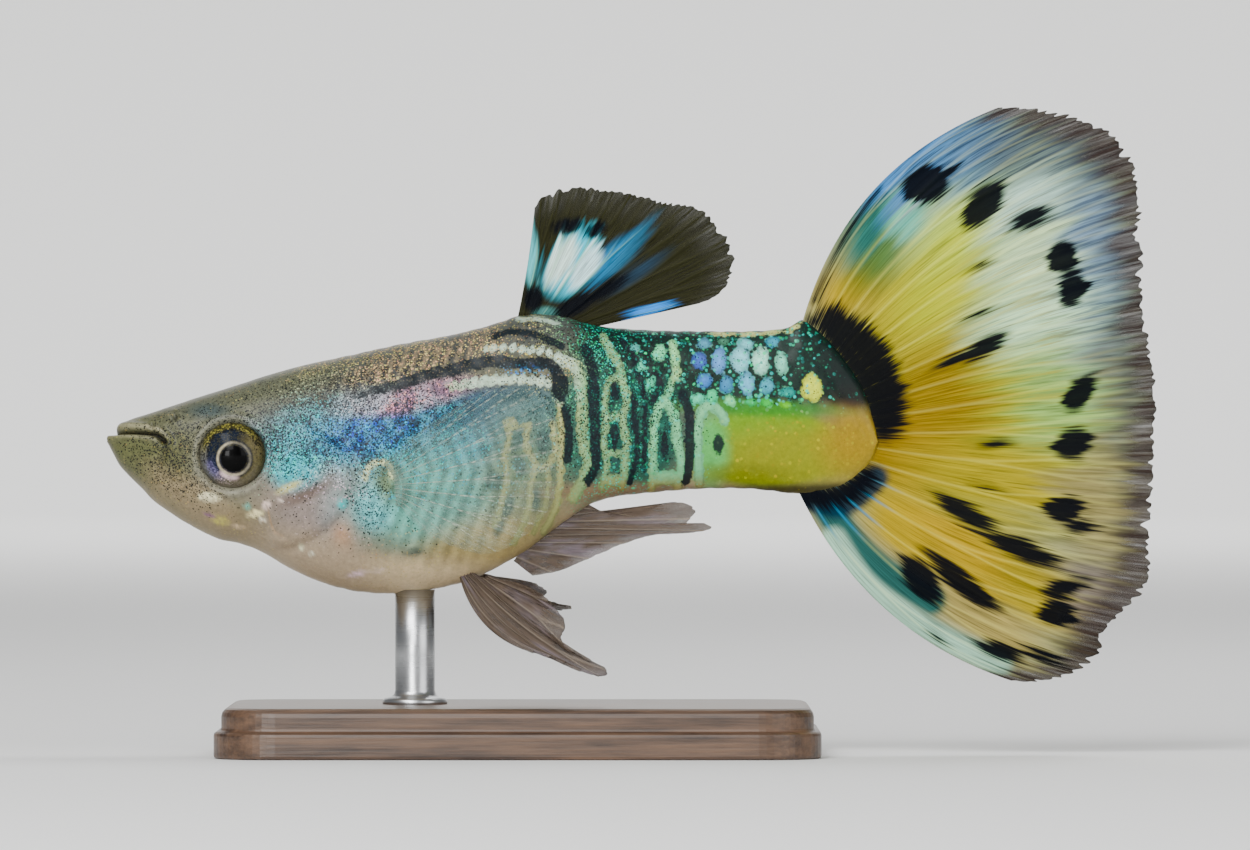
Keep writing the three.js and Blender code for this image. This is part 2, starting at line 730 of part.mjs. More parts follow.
addPart("head", head, 0x8a8a5c, 0.4);
addPart("lower_jaw", lowerJaw, 0x9a9a72, 0.4);
addPart("gill_cover_left", gillCovers[-1], 0xb9a8a0, 0.35);
addPart("gill_cover_right", gillCovers[1], 0xb9a8a0, 0.35);
addPart("eye_left", eyeSolid(-1), 0x22261f, 0.1);
addPart("eye_right", eyeSolid(1), 0x22261f, 0.1);
addPart("trunk", trunk, 0x6f8a86, 0.4);
addPart("tail_stalk", tailStalk, 0x7f9a5a, 0.4);
addPart("dorsal_fin", dorsal, 0x6d7f80, 0.4);
addPart("caudal_fin", caudal, 0xd9cf8a, 0.4);
addPart("pectoral_fin_left", pectorals[-1], 0xa9b4ae, 0.4);
addPart("pectoral_fin_right", pectorals[1], 0xa9b4ae, 0.4);
addPart("pelvic_fin_left", pelvics[-1], 0xa8988c, 0.4);
addPart("pelvic_fin_right", pelvics[1], 0xa8988c, 0.4);
addPart("anal_fin", anal, 0xa8988c, 0.4);
addPart("stand_base", standBase, 0x5a4634, 0.55);
addPart("stand_rod", standRod, 0xb8bcc0, 0.3, 1);

export default fish;
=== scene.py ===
import bpy
import numpy as np
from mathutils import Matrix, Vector


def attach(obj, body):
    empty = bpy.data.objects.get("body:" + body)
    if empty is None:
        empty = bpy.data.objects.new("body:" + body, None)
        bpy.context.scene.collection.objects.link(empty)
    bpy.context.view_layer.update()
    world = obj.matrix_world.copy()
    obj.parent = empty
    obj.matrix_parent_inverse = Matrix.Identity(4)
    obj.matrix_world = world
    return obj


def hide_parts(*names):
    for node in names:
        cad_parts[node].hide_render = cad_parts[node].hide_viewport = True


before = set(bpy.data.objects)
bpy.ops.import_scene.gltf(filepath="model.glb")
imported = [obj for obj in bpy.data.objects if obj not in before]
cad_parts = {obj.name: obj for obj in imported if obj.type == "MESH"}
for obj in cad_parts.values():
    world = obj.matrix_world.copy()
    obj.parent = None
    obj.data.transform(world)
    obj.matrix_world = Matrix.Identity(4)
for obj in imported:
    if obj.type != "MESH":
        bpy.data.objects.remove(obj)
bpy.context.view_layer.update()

mm = 0.001
pixelSize = 0.04  # millimetres of the fish in one pixel of the photo
pixelOrigin = (634, 754)  # the pixel that lies at x = 0, z = 0
print("frame loaded")


# A smooth curve through a few points; each slope comes from the two neighbouring points.
def smoothCurve(points, perSpan=12):
    p = np.array(points, float)
    a = p[np.maximum(np.arange(len(p) - 1) - 1, 0)][:, None]
    b = p[:-1][:, None]
    c = p[1:][:, None]
    d = p[np.minimum(np.arange(len(p) - 1) + 2, len(p) - 1)][:, None]
    t = np.linspace(0, 1, perSpan, endpoint=False)[None, :, None]
    run = 0.5 * (2 * b + (c - a) * t + (2 * a - 5 * b + 4 * c - d) * t**2 + (3 * b - a - 3 * c + d) * t**3)
    return np.concatenate([run.reshape(-1, p.shape[1]), p[-1:]])


# Height of a smooth curve at x, read between its two nearest points.
def onCurve(points, x):
    curve = smoothCurve(points)
    return np.interp(x, curve[:, 0], curve[:, 1])


# Points at given shares of a curve's length.
def alongCurve(points, share):
    curve = smoothCurve(points, 24)
    run = np.concatenate([[0], np.cumsum(np.linalg.norm(np.diff(curve, axis=0), axis=1))])
    run /= run[-1]
    return np.interp(share, run, curve[:, 0]), np.interp(share, run, curve[:, 1])


# 0 below low, 1 above high, and t * t * (3 - 2 * t) between them.
def ramp(value, low, high):
    t = np.clip((value - low) / (high - low), 0, 1)
    return t * t * (3 - 2 * t)


# Soft random field: values on a square net, smoothly joined, sum of a few sizes.
def softNoise(x, z, size, seed, layers=3):
    total = np.zeros_like(x)
    weight = 1.0
    whole = 0.0
    for layer in range(layers):
        net = np.random.default_rng(seed + layer).random((128, 128))
        u = x / size * 2**layer + 50
        v = z / size * 2**layer + 50
        i = np.floor(u).astype(int)
        j = np.floor(v).astype(int)
        fu = ramp(u - i, 0, 1)
        fv = ramp(v - j, 0, 1)
        near = net[i % 128, j % 128] * (1 - fu) + net[(i + 1) % 128, j % 128] * fu
        far = net[i % 128, (j + 1) % 128] * (1 - fu) + net[(i + 1) % 128, (j + 1) % 128] * fu
        total += weight * (near * (1 - fv) + far * fv)
        whole += weight
        weight *= 0.5
    return total / whole * 2 - 1


paint = {"depth": 0.76, "richness": 1.45}


# A screen colour, 0 to 255, as the linear colour of a material, richer because the studio's light is pale.
def tint(red, green, blue):
    c = np.array([red, green, blue]) / 255
    linear = np.where(c < 0.04, c / 12.92, ((c + 0.055) / 1.055) ** 2.4)
    grey = linear @ np.array([0.3, 0.59, 0.11])
    return np.clip((grey + (linear - grey) * paint["richness"]) * paint["depth"], 0.0015, 1)


# How far inside an oval a point lies, in pixels; angle turns its long axis up from level.
def ovalField(px, py, oval):
    cx, cy, halfLong, halfShort, angle = oval
    a = np.radians(angle)
    u = (px - cx) * np.cos(a) - (py - cy) * np.sin(a)
    v = (px - cx) * np.sin(a) + (py - cy) * np.cos(a)
    return (1 - np.sqrt((u / halfLong) ** 2 + (v / halfShort) ** 2)) * min(halfLong, halfShort)


# How far inside a band a point lies: half the band's width, less the distance to its line.
def bandField(px, py, line, half, perSpan=5):
    best = np.full_like(px, 1e9)
    curve = smoothCurve(line, perSpan)
    for a, b in zip(curve[:-1], curve[1:]):
        run = b - a
        t = np.clip(((px - a[0]) * run[0] + (py - a[1]) * run[1]) / max(run @ run, 1e-9), 0, 1)
        best = np.minimum(best, np.hypot(px - a[0] - t * run[0], py - a[1] - t * run[1]))
    return half - best


# The highest field of a set of bands and ovals; an edge below 1 makes their rims softer.
def markField(px, py, bands, ovals, edge=1):
    field = np.full(px.shape, -99.0)
    for line, halfWide in bands.values():
        field = np.maximum(field, edge * bandField(px, py, line, halfWide))
    for oval in ovals.values():
        field = np.maximum(field, edge * ovalField(px, py, oval))
    return field


# Lays one colour over others: share is how much of it shows.
def layColour(colours, share, colour):
    share = np.clip(share, 0, 1)[..., None]
    return colours * (1 - share) + np.asarray(colour) * share


# 1 in the middle of an oval, falling smoothly to 0 round its rim.
def softSpot(px, py, oval, blur=0.5):
    cx, cy, halfLong, halfShort, angle = oval
    a = np.radians(angle)
    u = ((px - cx) * np.cos(a) - (py - cy) * np.sin(a)) / halfLong
    v = ((px - cx) * np.sin(a) + (py - cy) * np.cos(a)) / halfShort
    return 1 - ramp(np.hypot(u, v), 1 - blur, 1 + blur)


# Soft ovals of colour, one over another: oval, softness, screen colour, strength.
def layZones(colours, px, py, zones):
    for oval, blur, shade, share in zones:
        colours = layColour(colours, share * softSpot(px, py, oval, blur), tint(*shade))
    return colours


# Sum of soft ovals: oval, softness, amount.
def sumSpots(px, py, spots):
    return sum(amount * softSpot(px, py, oval, blur) for oval, blur, amount in spots)


# One screen colour at every point.
def evenColour(like, red, green, blue):
    return np.zeros(like.shape + (3,)) + tint(red, green, blue)


# Bell curve: 1 at its middle, falling off over its width.
def bell(value, width, middle=0):
    return np.exp(-((value - middle) / width) ** 2)


# Quads between the rows of a grid of point numbers, each row closed into a ring.
def ringFaces(grid, turned=False):
    beside = np.roll(grid, -1, axis=1)
    corners = [grid[:-1], beside[:-1], beside[1:], grid[1:]]
    if turned:
        corners = corners[:1] + corners[:0:-1]
    return np.stack(corners, axis=-1).reshape(-1, 4).tolist()


# Triangles from a tip to a ring of point numbers.
def fanFaces(tip, ring, turned=False):
    beside = np.roll(ring, -1)
    pair = [beside, ring] if turned else [ring, beside]
    return np.stack([np.full(len(ring), tip), *pair], axis=-1).tolist()


# A piece from points in millimetres, tied to the part's body, its replaced nodes and its material slot.
def addMesh(name, points, faces, material, node):
    mesh = bpy.data.meshes.new(name)
    mesh.from_pydata((np.asarray(points) * mm).tolist(), [], [tuple(f) for f in faces])
    mesh.validate()
    mesh.polygons.foreach_set("use_smooth", [True] * len(mesh.polygons))
    piece = bpy.data.objects.new(name, mesh)
    bpy.context.scene.collection.objects.link(piece)
    mesh.materials.append(material)
    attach(piece, "root")
    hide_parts(*node)
    return piece


# One number, one colour or one place on the map for each point of a piece.
def giveNumbers(piece, name, values):
    layer = piece.data.attributes.new(name, "FLOAT", "POINT")
    layer.data.foreach_set("value", np.asarray(values, np.float32).ravel())


def giveColours(piece, name, colours):
    flat = np.concatenate([colours.reshape(-1, 3), np.ones((colours.size // 3, 1))], axis=1)
    layer = piece.data.attributes.new(name, "FLOAT_COLOR", "POINT")
    layer.data.foreach_set("color", np.clip(flat, 0, 1).astype(np.float32).ravel())


def giveUv(piece, u, v):
    layer = piece.data.uv_layers.new(name="along")
    corner = np.zeros(len(piece.data.loops), np.int32)
    piece.data.loops.foreach_get("vertex_index", corner)
    flat = np.stack([np.ravel(u)[corner], np.ravel(v)[corner]], axis=1)
    layer.data.foreach_set("uv", flat.astype(np.float32).ravel())


# Puts a material's nodes together: each call adds one node and gives back its output.
class Bench:
    def __init__(self, name):
        self.material = bpy.data.materials.new(name)
        self.material.use_nodes = True
        self.nodes = self.material.node_tree.nodes
        self.links = self.material.node_tree.links
        self.shader = self.nodes["Principled BSDF"]

    def put(self, socket, value):
        if isinstance(value, bpy.types.NodeSocket):
            self.links.new(value, socket)
        elif hasattr(value, "__len__") and len(value) == 3 and socket.type == "RGBA":
            socket.default_value = (*value, 1)
        else:
            socket.default_value = value

    def add(self, kind, settings=None, **inputs):
        node = self.nodes.new(kind)
        for key, value in (settings or {}).items():
            setattr(node, key, value)
        for key, value in inputs.items():
            self.put(node.inputs[key.replace("_", " ")], value)
        return node

    def sum(self, operation, a, b, clamp=False):
        node = self.nodes.new("ShaderNodeMath")
        node.operation = operation
        node.use_clamp = clamp
        for socket, value in zip(node.inputs, (a, b)):
            self.put(socket, value)
        return node.outputs[0]

    def times(self, a, b, clamp=False):
        return self.sum("MULTIPLY", a, b, clamp)

    def plus(self, a, b, clamp=False):
        return self.sum("ADD", a, b, clamp)

    def minus(self, a, b):
        return self.sum("SUBTRACT", a, b)

    # rises smoothly from 0 to 1 as value runs from low to high
    def step(self, value, low, high):
        node = self.add("ShaderNodeMapRange", {"interpolation_type": "SMOOTHSTEP"})
        for socket, part in zip(node.inputs, (value, low, high, 0.0, 1.0)):
            self.put(socket, part)
        return node.outputs[0]

    def blend(self, share, a, b, kind="MIX"):
        node = self.add("ShaderNodeMix", {"data_type": "RGBA", "blend_type": kind, "clamp_factor": True})
        self.put(node.inputs[0], share)
        self.put(node.inputs[6], a)
        self.put(node.inputs[7], b)
        return node.outputs[2]

    # colour made darker and lighter as value runs from low to high
    def shaded(self, colour, value, reach):
        low, high, dim, bright = reach
        spread = self.add("ShaderNodeMapRange")
        for socket, part in zip(spread.inputs, (value, low, high, dim, bright)):
            self.put(socket, part)
        level = spread.outputs[0]
        grey = self.add("ShaderNodeCombineColor", None, Red=level, Green=level, Blue=level)
        return self.blend(1.0, colour, grey.outputs[0], "MULTIPLY")

    def attribute(self, name, output="Fac"):
        return self.add("ShaderNodeAttribute", {"attribute_name": name}).outputs[output]

    def place(self, kind="Object", scale=(1, 1, 1)):
        source = self.nodes.new("ShaderNodeTexCoord").outputs[kind]
        node = self.add("ShaderNodeMapping")
        self.put(node.inputs["Vector"], source)
        node.inputs["Scale"].default_value = scale
        return node.outputs[0]

    def noise(self, where, scale, detail=3.0, rough=0.55):
        node = self.add("ShaderNodeTexNoise", None, Vector=where, Scale=scale, Detail=detail, Roughness=rough)
        return node.outputs[0]

    # round cells: their filled middles, from 0 to 1, and three random numbers for each
    def cells(self, where, scale, edge):
        node = self.add("ShaderNodeTexVoronoi", None, Vector=where, Scale=scale)
        random = self.add("ShaderNodeSeparateColor", None, Color=node.outputs["Color"])
        filled = self.minus(1.0, self.step(node.outputs["Distance"], *edge))
        return filled, random.outputs

    def bump(self, height, distance, strength=1.0):
        node = self.add("ShaderNodeBump", None, Height=height)
        node.inputs["Distance"].default_value = distance
        node.inputs["Strength"].default_value = strength
        return node.outputs[0]

    def finish(self, **inputs):
        for key, value in inputs.items():
            self.put(self.shader.inputs[key.replace("_", " ")], value)
        return self.material


skinFinish = {
    "edgeWander": 2.1,  # pixels by which fine noise moves the edge of a marking
    "inkColour": (0.003, 0.008, 0.012),
    "dotColour": (0.003, 0.004, 0.006),
    "edgeSoft": 1.1,  # half the width of that edge, in pixels
    "brightCells": (("sparkle", 13.0), ("fleck", 6.5)),  # attribute that rules them, cells in a millimetre
    "roughness": 0.3,
    "pepperSizes": ((9.5, 1.0, (0.3, 0.44)), (15.0, 1.2, (0.34, 0.48))),  # dots in a millimetre, share, edge
}


# Ground tint, cream and ink where their fields are above 0, then shining cells and black dots.
def skinMaterial():
    b = Bench("wetScaledSkin")
    soft = skinFinish["edgeSoft"]
    where = b.place("Object", (1000, 1000, 1000))
    wander = b.times(b.minus(b.noise(where, 4.5, 4), 0.5), skinFinish["edgeWander"] * 4)
    cream = b.step(b.plus(b.attribute("creamField"), wander), -soft, soft)
    ink = b.step(b.plus(b.attribute("inkField"), wander), -soft, soft)
    colour = b.blend(cream, b.attribute("skinTint", "Color"), b.attribute("markTint", "Color"))
    colour = b.blend(b.times(ink, 0.96), colour, skinFinish["inkColour"])
    mottle = b.noise(where, 6.0, 5, 0.75)
    # where there are few dark dots the skin is smooth too
    grain = b.plus(b.times(b.attribute("pepper"), 1.6), 0.28, clamp=True)
    colour = b.blend(grain, colour, b.shaded(colour, mottle, (0.3, 0.7, 0.4, 1.6)))
    # bright cells, fine and coarse: the attribute says what share of them is lit
    clear = b.minus(1.0, b.times(ink, 0.85))
    height = b.times(mottle, 0.6)
    for ruler, size in skinFinish["brightCells"]:
        filled, random = b.cells(where, size, (0.3, 0.62))
        chosen = b.plus(random[1], b.minus(b.attribute(ruler), 1.0))
        lit = b.times(b.times(chosen, 2.6, clamp=True), b.times(filled, clear))
        hue = b.add("ShaderNodeHueSaturation", None, Color=b.attribute("glintTint", "Color"),
                    Hue=b.plus(0.45, b.times(random[2], 0.1)), Saturation=1.1)
        bright = b.shaded(hue.outputs[0], random[0], (0.0, 1.0, 0.5, 1.5))
        colour = b.blend(b.times(lit, 0.85), colour, bright)
        height = b.plus(height, b.times(lit, 0.3))
    for size, share, edge in skinFinish["pepperSizes"]:
        filled, random = b.cells(where, size, edge)
        wanted = b.times(b.attribute("pepper"), share)
        chosen = b.step(b.minus(wanted, random[1]), 0.0, 0.05)
        dot = b.times(b.times(chosen, filled), 0.92)
        colour = b.blend(dot, colour, skinFinish["dotColour"])
    rough = b.plus(b.times(mottle, 0.25), skinFinish["roughness"])
    return b.finish(Base_Color=colour, Roughness=rough, Normal=b.bump(height, 0.00003, 0.5),
                    Coat_Weight=0.08, Coat_Roughness=0.2, Specular_IOR_Level=0.15)


# Thin fin: two colours in fine streaks, pale ray lines, ink spots whose edges run out along the rays,
# and a see-through share.
def finMaterial(name, streakFine, streakLong, inkShare=0.99):
    b = Bench(name)
    along = b.place("UV", (streakLong, streakFine, 1))
    fine = b.noise(along, 1.0, 3, 0.6)
    wide = b.noise(b.place("UV", (streakLong * 0.6, streakFine * 0.35, 1)), 1.0, 2)
    streak = b.minus(b.plus(b.times(fine, 0.6), b.times(wide, 0.4)), 0.5)
    ink = b.step(b.plus(b.attribute("inkField"), b.times(streak, 26.0)), -3.2, 2.6)
    hair = b.times(b.step(streak, -0.02, 0.07), b.attribute("hair"))
    colour = b.blend(hair, b.attribute("finTint", "Color"), b.attribute("hairTint", "Color"))
    colour = b.shaded(colour, fine, (0.3, 0.7, 0.5, 1.5))
    line = b.times(b.attribute("ray"), b.attribute("rayShow"))
    colour = b.blend(line, colour, b.attribute("rayTint", "Color"))
    colour = b.blend(b.times(ink, inkShare), colour, (0.0008, 0.0016, 0.004))
    veil = b.plus(b.attribute("cover"), b.times(streak, b.attribute("coverStreak")))
    veil = b.sum("MAXIMUM", veil, b.times(ink, 0.98))
    veil = b.sum("MAXIMUM", veil, b.times(b.attribute("ray"), b.attribute("rayCover")), clamp=True)
    normal = b.bump(streak, 0.00006, 0.5)
    return b.finish(Base_Color=colour, Roughness=0.5, Alpha=veil, Normal=normal, Specular_IOR_Level=0.04)


# Ring tint with bright grains and dark dots, and the black pupil over them.
def eyeMaterial():
    b = Bench("fishEye")
    where = b.place("Object", (1000, 1000, 1000))
    filled, random = b.cells(where, 15.0, (0.35, 0.7))
    grain = b.times(b.times(random[0], filled), b.attribute("sparkle"), clamp=True)
    colour = b.shaded(b.attribute("eyeTint", "Color"), b.noise(where, 7.0, 4, 0.7), (0.3, 0.7, 0.6, 1.4))
    colour = b.blend(grain, colour, b.attribute("glintTint", "Color"))
    dark = b.step(b.minus(b.attribute("pepper"), random[1]), 0.0, 0.05)
    colour = b.blend(b.times(dark, 0.8), colour, (0.005, 0.005, 0.006))
    colour = b.blend(b.attribute("pupil"), colour, (0.001, 0.001, 0.001))
    return b.finish(Base_Color=colour, Roughness=0.3, Coat_Weight=0.09, Coat_Roughness=0.03,
                    Specular_IOR_Level=0.03)


# Noise drawn out along x: broad for the grain, fine for the pores.
def woodMaterial():
    b = Bench("oiledDarkWood")
    where = b.place("Object", (90, 900, 900))
    grain = b.noise(where, 2.2, 6, 0.62)
    pores = b.noise(b.place("Object", (300, 9000, 9000)), 1.0, 2)
    figure = b.plus(b.times(grain, 0.8), b.times(pores, 0.25))
    mixed = b.add("ShaderNodeValToRGB", None, Fac=figure)
    dark, pale = mixed.color_ramp.elements
    dark.position, dark.color = 0.36, (0.028, 0.015, 0.009, 1)
    pale.position, pale.color = 0.68, (0.13, 0.07, 0.038, 1)
    return b.finish(Base_Color=mixed.outputs[0], Roughness=b.plus(b.times(grain, 0.25), 0.3),
                    Normal=b.bump(pores, 0.00005, 0.25), Coat_Weight=0.15, Coat_Roughness=0.3)


# Metal with fine level lines from noise that is pressed flat along z.
def steelMaterial():
    b = Bench("brushedSteel")
    lines = b.noise(b.place("Object", (300, 300, 40000)), 1.0, 2)
    return b.finish(Base_Color=(0.55, 0.56, 0.57), Metallic=1.0, Normal=b.bump(lines, 0.00001, 0.3),
                    Roughness=b.plus(b.times(lines, 0.2), 0.2))


body = {
    "snoutX": -21.06,
    "stalkEndX": 9.76,
    "tipZ": 12.48,  # height of the snout's tip and of the stalk's end
    "around": 196,
    "backLine": [
        (-21.06, 12.48), (-20.98, 12.74), (-20.8, 12.9), (-20.36, 13.24), (-20, 13.42),
        (-19.32, 13.64), (-18.68, 13.86), (-17.4, 14.28), (-16.16, 14.66), (-14.8, 15.1),
        (-13.36, 15.52), (-11.36, 15.96), (-9.36, 16.4), (-7.36, 16.76), (-5.76, 17.16),
        (-4.64, 17.52), (-3.56, 17.6), (-2.56, 17.44), (-1.36, 17.12), (0.64, 16.96), (2.64, 16.92),
        (4.64, 16.92), (6.04, 17.04), (6.76, 17.36), (7.52, 16.84), (8.24, 16.08), (9.12, 14.76),
        (9.56, 13.44), (9.76, 12.48),
    ],
    "bellyLine": [
        (-21.06, 12.48), (-20.86, 12.1), (-20.6, 11.6), (-20.28, 11.22), (-19.64, 10.58),
        (-19.14, 10.08), (-18, 9.3), (-16.72, 8.64), (-15.76, 8.42), (-14.92, 8.1), (-13.72, 7.4),
        (-12.32, 6.8), (-10.96, 6.48), (-9.36, 6.42), (-7.76, 6.64), (-6.56, 6.96), (-5.36, 7.52),
        (-4.16, 8.24), (-2.96, 9.16), (-1.76, 9.96), (-0.76, 10.28), (0.64, 10.44), (2.64, 10.6),
        (4.64, 10.6), (6.64, 10.4), (7.76, 10.56), (8.56, 10.84), (9.44, 11.6), (9.76, 12.48),
    ],
    "halfWidths": [
        (-21.06, 0.55), (-20.9, 0.9), (-20.5, 1.25), (-19.9, 1.55), (-19.1, 1.86), (-18, 2.16),
        (-16.5, 2.45), (-15, 2.58), (-13, 2.66), (-11, 2.74), (-8.5, 2.72), (-6, 2.42), (-3.5, 2.02),
        (-1, 1.66), (2, 1.36), (5, 1.12), (7, 0.92), (8.4, 0.7), (9.3, 0.5), (9.76, 0.38),
    ],
    "widestShare": [(-21.06, 0.5), (-18, 0.56), (-14, 0.55), (-9, 0.5), (-3, 0.52), (9.76, 0.5)],
    "upperFullness": [(-21.06, 2.6), (-16, 2.7), (-12, 2.4), (-6, 2.15), (9.76, 2.05)],
    "lowerFullness": 2.1,
}
eye = {"x": -15.98, "z": 11.96, "radius": 1.34, "halfDepth": 0.86, "proud": 0.3, "pupilShift": (0.08, -0.14)}
scales = {"length": 0.86, "height": 0.98, "bent": 0.4, "level": 13.2}  # share of bend; height of the level row
# How deep or high each form of the skin is, in millimetres.
relief = {
    "scale": 0.03, "gillCover": 0.09, "gillGroove": 0.06, "eyeSocket": 0.62, "eyeRim": 0.1, "mouth": 0.3,
    "lip": 0.1, "cornerFold": 0.07, "cheekLine": 0.05, "nostril": 0.16, "nostrilRim": 0.03, "headGrain": 0.012,
}
# Lines of the face in pixels, and the nostrils in millimetres.
face = {
    "mouth": [(100, 433), (114, 432.5), (127, 431.5), (143, 432), (157, 434), (166, 441)],
    "cornerFold": [(166, 441), (168, 452), (162, 466)],
    "cheekLine": [(262, 480), (268, 505), (276, 528), (292, 540)],
    "goldLine": [(270, 510), (275, 528), (288, 538)],
    "finHook": [(366, 478), (371, 466), (381, 461), (391, 464), (395, 476)],
    "nostrils": ((-19.2, 13.1), (-18.3, 13.5)),
}
gillOutline = [
    (-13.68, 13.04), (-12.48, 12.88), (-11.6, 12.16), (-11.2, 11.04), (-11.4, 10.04),
    (-12.04, 9.2), (-13.24, 8.44), (-14.48, 8.3), (-14.62, 9.36), (-14.54, 10.4), (-14.2, 12.0),
]


# The body at x: its back, its belly, the height where it is widest, its half width and its upper fullness.
def section(x):
    top = onCurve(body["backLine"], x)
    foot = onCurve(body["bellyLine"], x)
    middle = foot + (top - foot) * onCurve(body["widestShare"], x)
    return top, foot, middle, onCurve(body["halfWidths"], x), onCurve(body["upperFullness"], x)


# Half width of the body at a place in side view.
def flank(x, z):
    top, foot, middle, half, full = section(np.asarray(x, float))
    up = z > middle
    power = np.where(up, full, body["lowerFullness"])
    rise = np.clip(np.abs(z - middle) / np.where(up, top - middle, middle - foot), 0, 1)
    return half * (1 - rise**power) ** (1 / power)


# Inside where a level line from the point crosses the outline an odd number of times.
def insidePolygon(x, z, outline):
    curve = smoothCurve(outline + outline[:1], 6)
    inside = np.zeros(x.shape, bool)
    for a, b in zip(curve[:-1], curve[1:]):
        crosses = (a[1] > z) != (b[1] > z)
        span = b[1] - a[1] if abs(b[1] - a[1]) > 1e-9 else 1e-9
        inside ^= crosses & (x < (b[0] - a[0]) * (z - a[1]) / span + a[0])
    return inside


# Millimetres of the fish to pixels of the photo, and back.
def toPixels(x, z):
    return x / pixelSize + pixelOrigin[0], pixelOrigin[1] - z / pixelSize


def toSize(px, py):
    return (px - pixelOrigin[0]) * pixelSize, (pixelOrigin[1] - py) * pixelSize


# Distance in millimetres to a line that is given in pixels.
def awayFrom(x, z, line):
    return -bandField(x, z, [toSize(*p) for p in line], 0)


# Stations close together at the snout and the end of the stalk.
def skinStations():
    x0, x1 = body["snoutX"], body["stalkEndX"]
    nose = x0 + 0.004 + 1.0 * np.linspace(0, 1, 30) ** 2
    head = np.arange(nose[-1] + 0.05, -14.2, 0.052)
    trunk = np.arange(head[-1] + 0.07, x1 - 1.0, 0.0715)
    end = x1 - 0.004 - (x1 - trunk[-1] - 0.08) * np.linspace(1, 0, 22) ** 2
    return np.concatenate([nose, head, trunk, end])


# Ring at each station: |y/half|^p + |z/height|^p = 1, with points spread evenly round it.
def skinRings():
    x = skinStations()[:, None]
    top, foot, middle, half, full = section(x)
    turn = np.arange(body["around"]) / body["around"] * 2 * np.pi
    t = (turn - 0.33 * np.sin(2 * turn))[None, :]
    c, s = np.cos(t), np.sin(t)
    power = np.where(s > 0, full, body["lowerFullness"])
    y = half * np.sign(c) * np.abs(c) ** (2 / power)
    z = middle + np.where(s > 0, top - middle, middle - foot) * np.sign(s) * np.abs(s) ** (2 / power)
    return np.stack([np.broadcast_to(x, y.shape), y, z], axis=-1)


# Unit normal of a surface of rings, turned away from the middle of each ring.
def outward(rings):
    along = np.gradient(rings, axis=0)
    around = np.roll(rings, -1, axis=1) - np.roll(rings, 1, axis=1)
    n = np.cross(around, along)
    n /= np.maximum(np.linalg.norm(n, axis=-1, keepdims=True), 1e-12)
    centre = rings.mean(axis=1, keepdims=True)
    flip = np.sum(n * (rings - centre), axis=-1, keepdims=True) < 0
    return np.where(flip, -n, n)


# Nearest scale in staggered rows: how far a point lies from its middle, 0 to about 1.
def scaleNet(x, q):
    best = np.full(x.shape, 9.0)
    row = np.round(q / scales["height"] * 2)
    for step in (-1, 0, 1):
        r = row + step
        shift = np.where(np.mod(r, 2) == 0, 0.0, 0.5)
        k = np.round(x / scales["length"] - shift)
        dx = x / scales["length"] - shift - k
        dq = q / scales["height"] - r / 2
        best = np.minimum(best, np.hypot(dx, dq) * 1.7)
    return best


# Markings, in pixels of the photo.
inkBands = {
    "stripe": (
        [(352, 398), (375, 391), (400, 384), (430, 375), (460, 368), (490, 363), (545, 364), (556, 372)], 6.0,
    ),
    "stripeEnd": ([(555, 370), (563, 382), (561, 397)], 5.6),
    "shoulderLine": ([(494, 336), (512, 332), (538, 336), (562, 346)], 3.2),
    "slit": ([(565, 408), (569, 432), (567, 460)], 4.4),
    "barTwo": ([(586, 348), (592, 370), (595, 401), (596, 440), (594, 466), (588, 482)], 5.4),
    "barThreeFront": ([(633, 398), (637, 430), (636, 462), (630, 482)], 3.2),
    "barThreeBack": ([(646, 404), (645, 440), (644, 470)], 2.6),
    "barFour": ([(683, 396), (688, 412), (690, 440), (688, 466), (685, 482)], 5.2),
    "backLineOne": ([(622, 340), (632, 352), (640, 380), (644, 398)], 3.0),
    "backLineTwo": ([(655, 374), (660, 388), (652, 402)], 3.4),
}
inkOvals = {
    "ringOne": (615, 393, 11, 4.2, 86), "ringTwo": (615, 436, 13, 4.4, 90), "archSlit": (665, 446, 15, 3.8, 90),
    "patchOval": (719, 443, 9.5, 5.4, 84), "stripeKnot": (557, 384, 12, 7, 80),
}
# Softer dark patches of the net on the flank.
duskOvals = {
    "netRing": (543, 442, 14, 7, 84), "netOne": (520, 440, 10, 6, 80), "netTwo": (520, 466, 12, 7, 110),
    "netThree": (508, 507, 13, 6.4, 68), "netFour": (536, 500, 14, 4.6, 84), "netFive": (494, 482, 11, 8, 80),
    "netSeven": (487, 452, 8, 6, 80), "netEight": (499, 528, 9, 5, 60), "netNine": (523, 396, 12, 7, 20),
    "netTen": (500, 400, 14, 8, 20), "ringThree": (615, 462, 6, 3.6, 90), "bellySpot": (414, 552, 12, 5, 15),
}
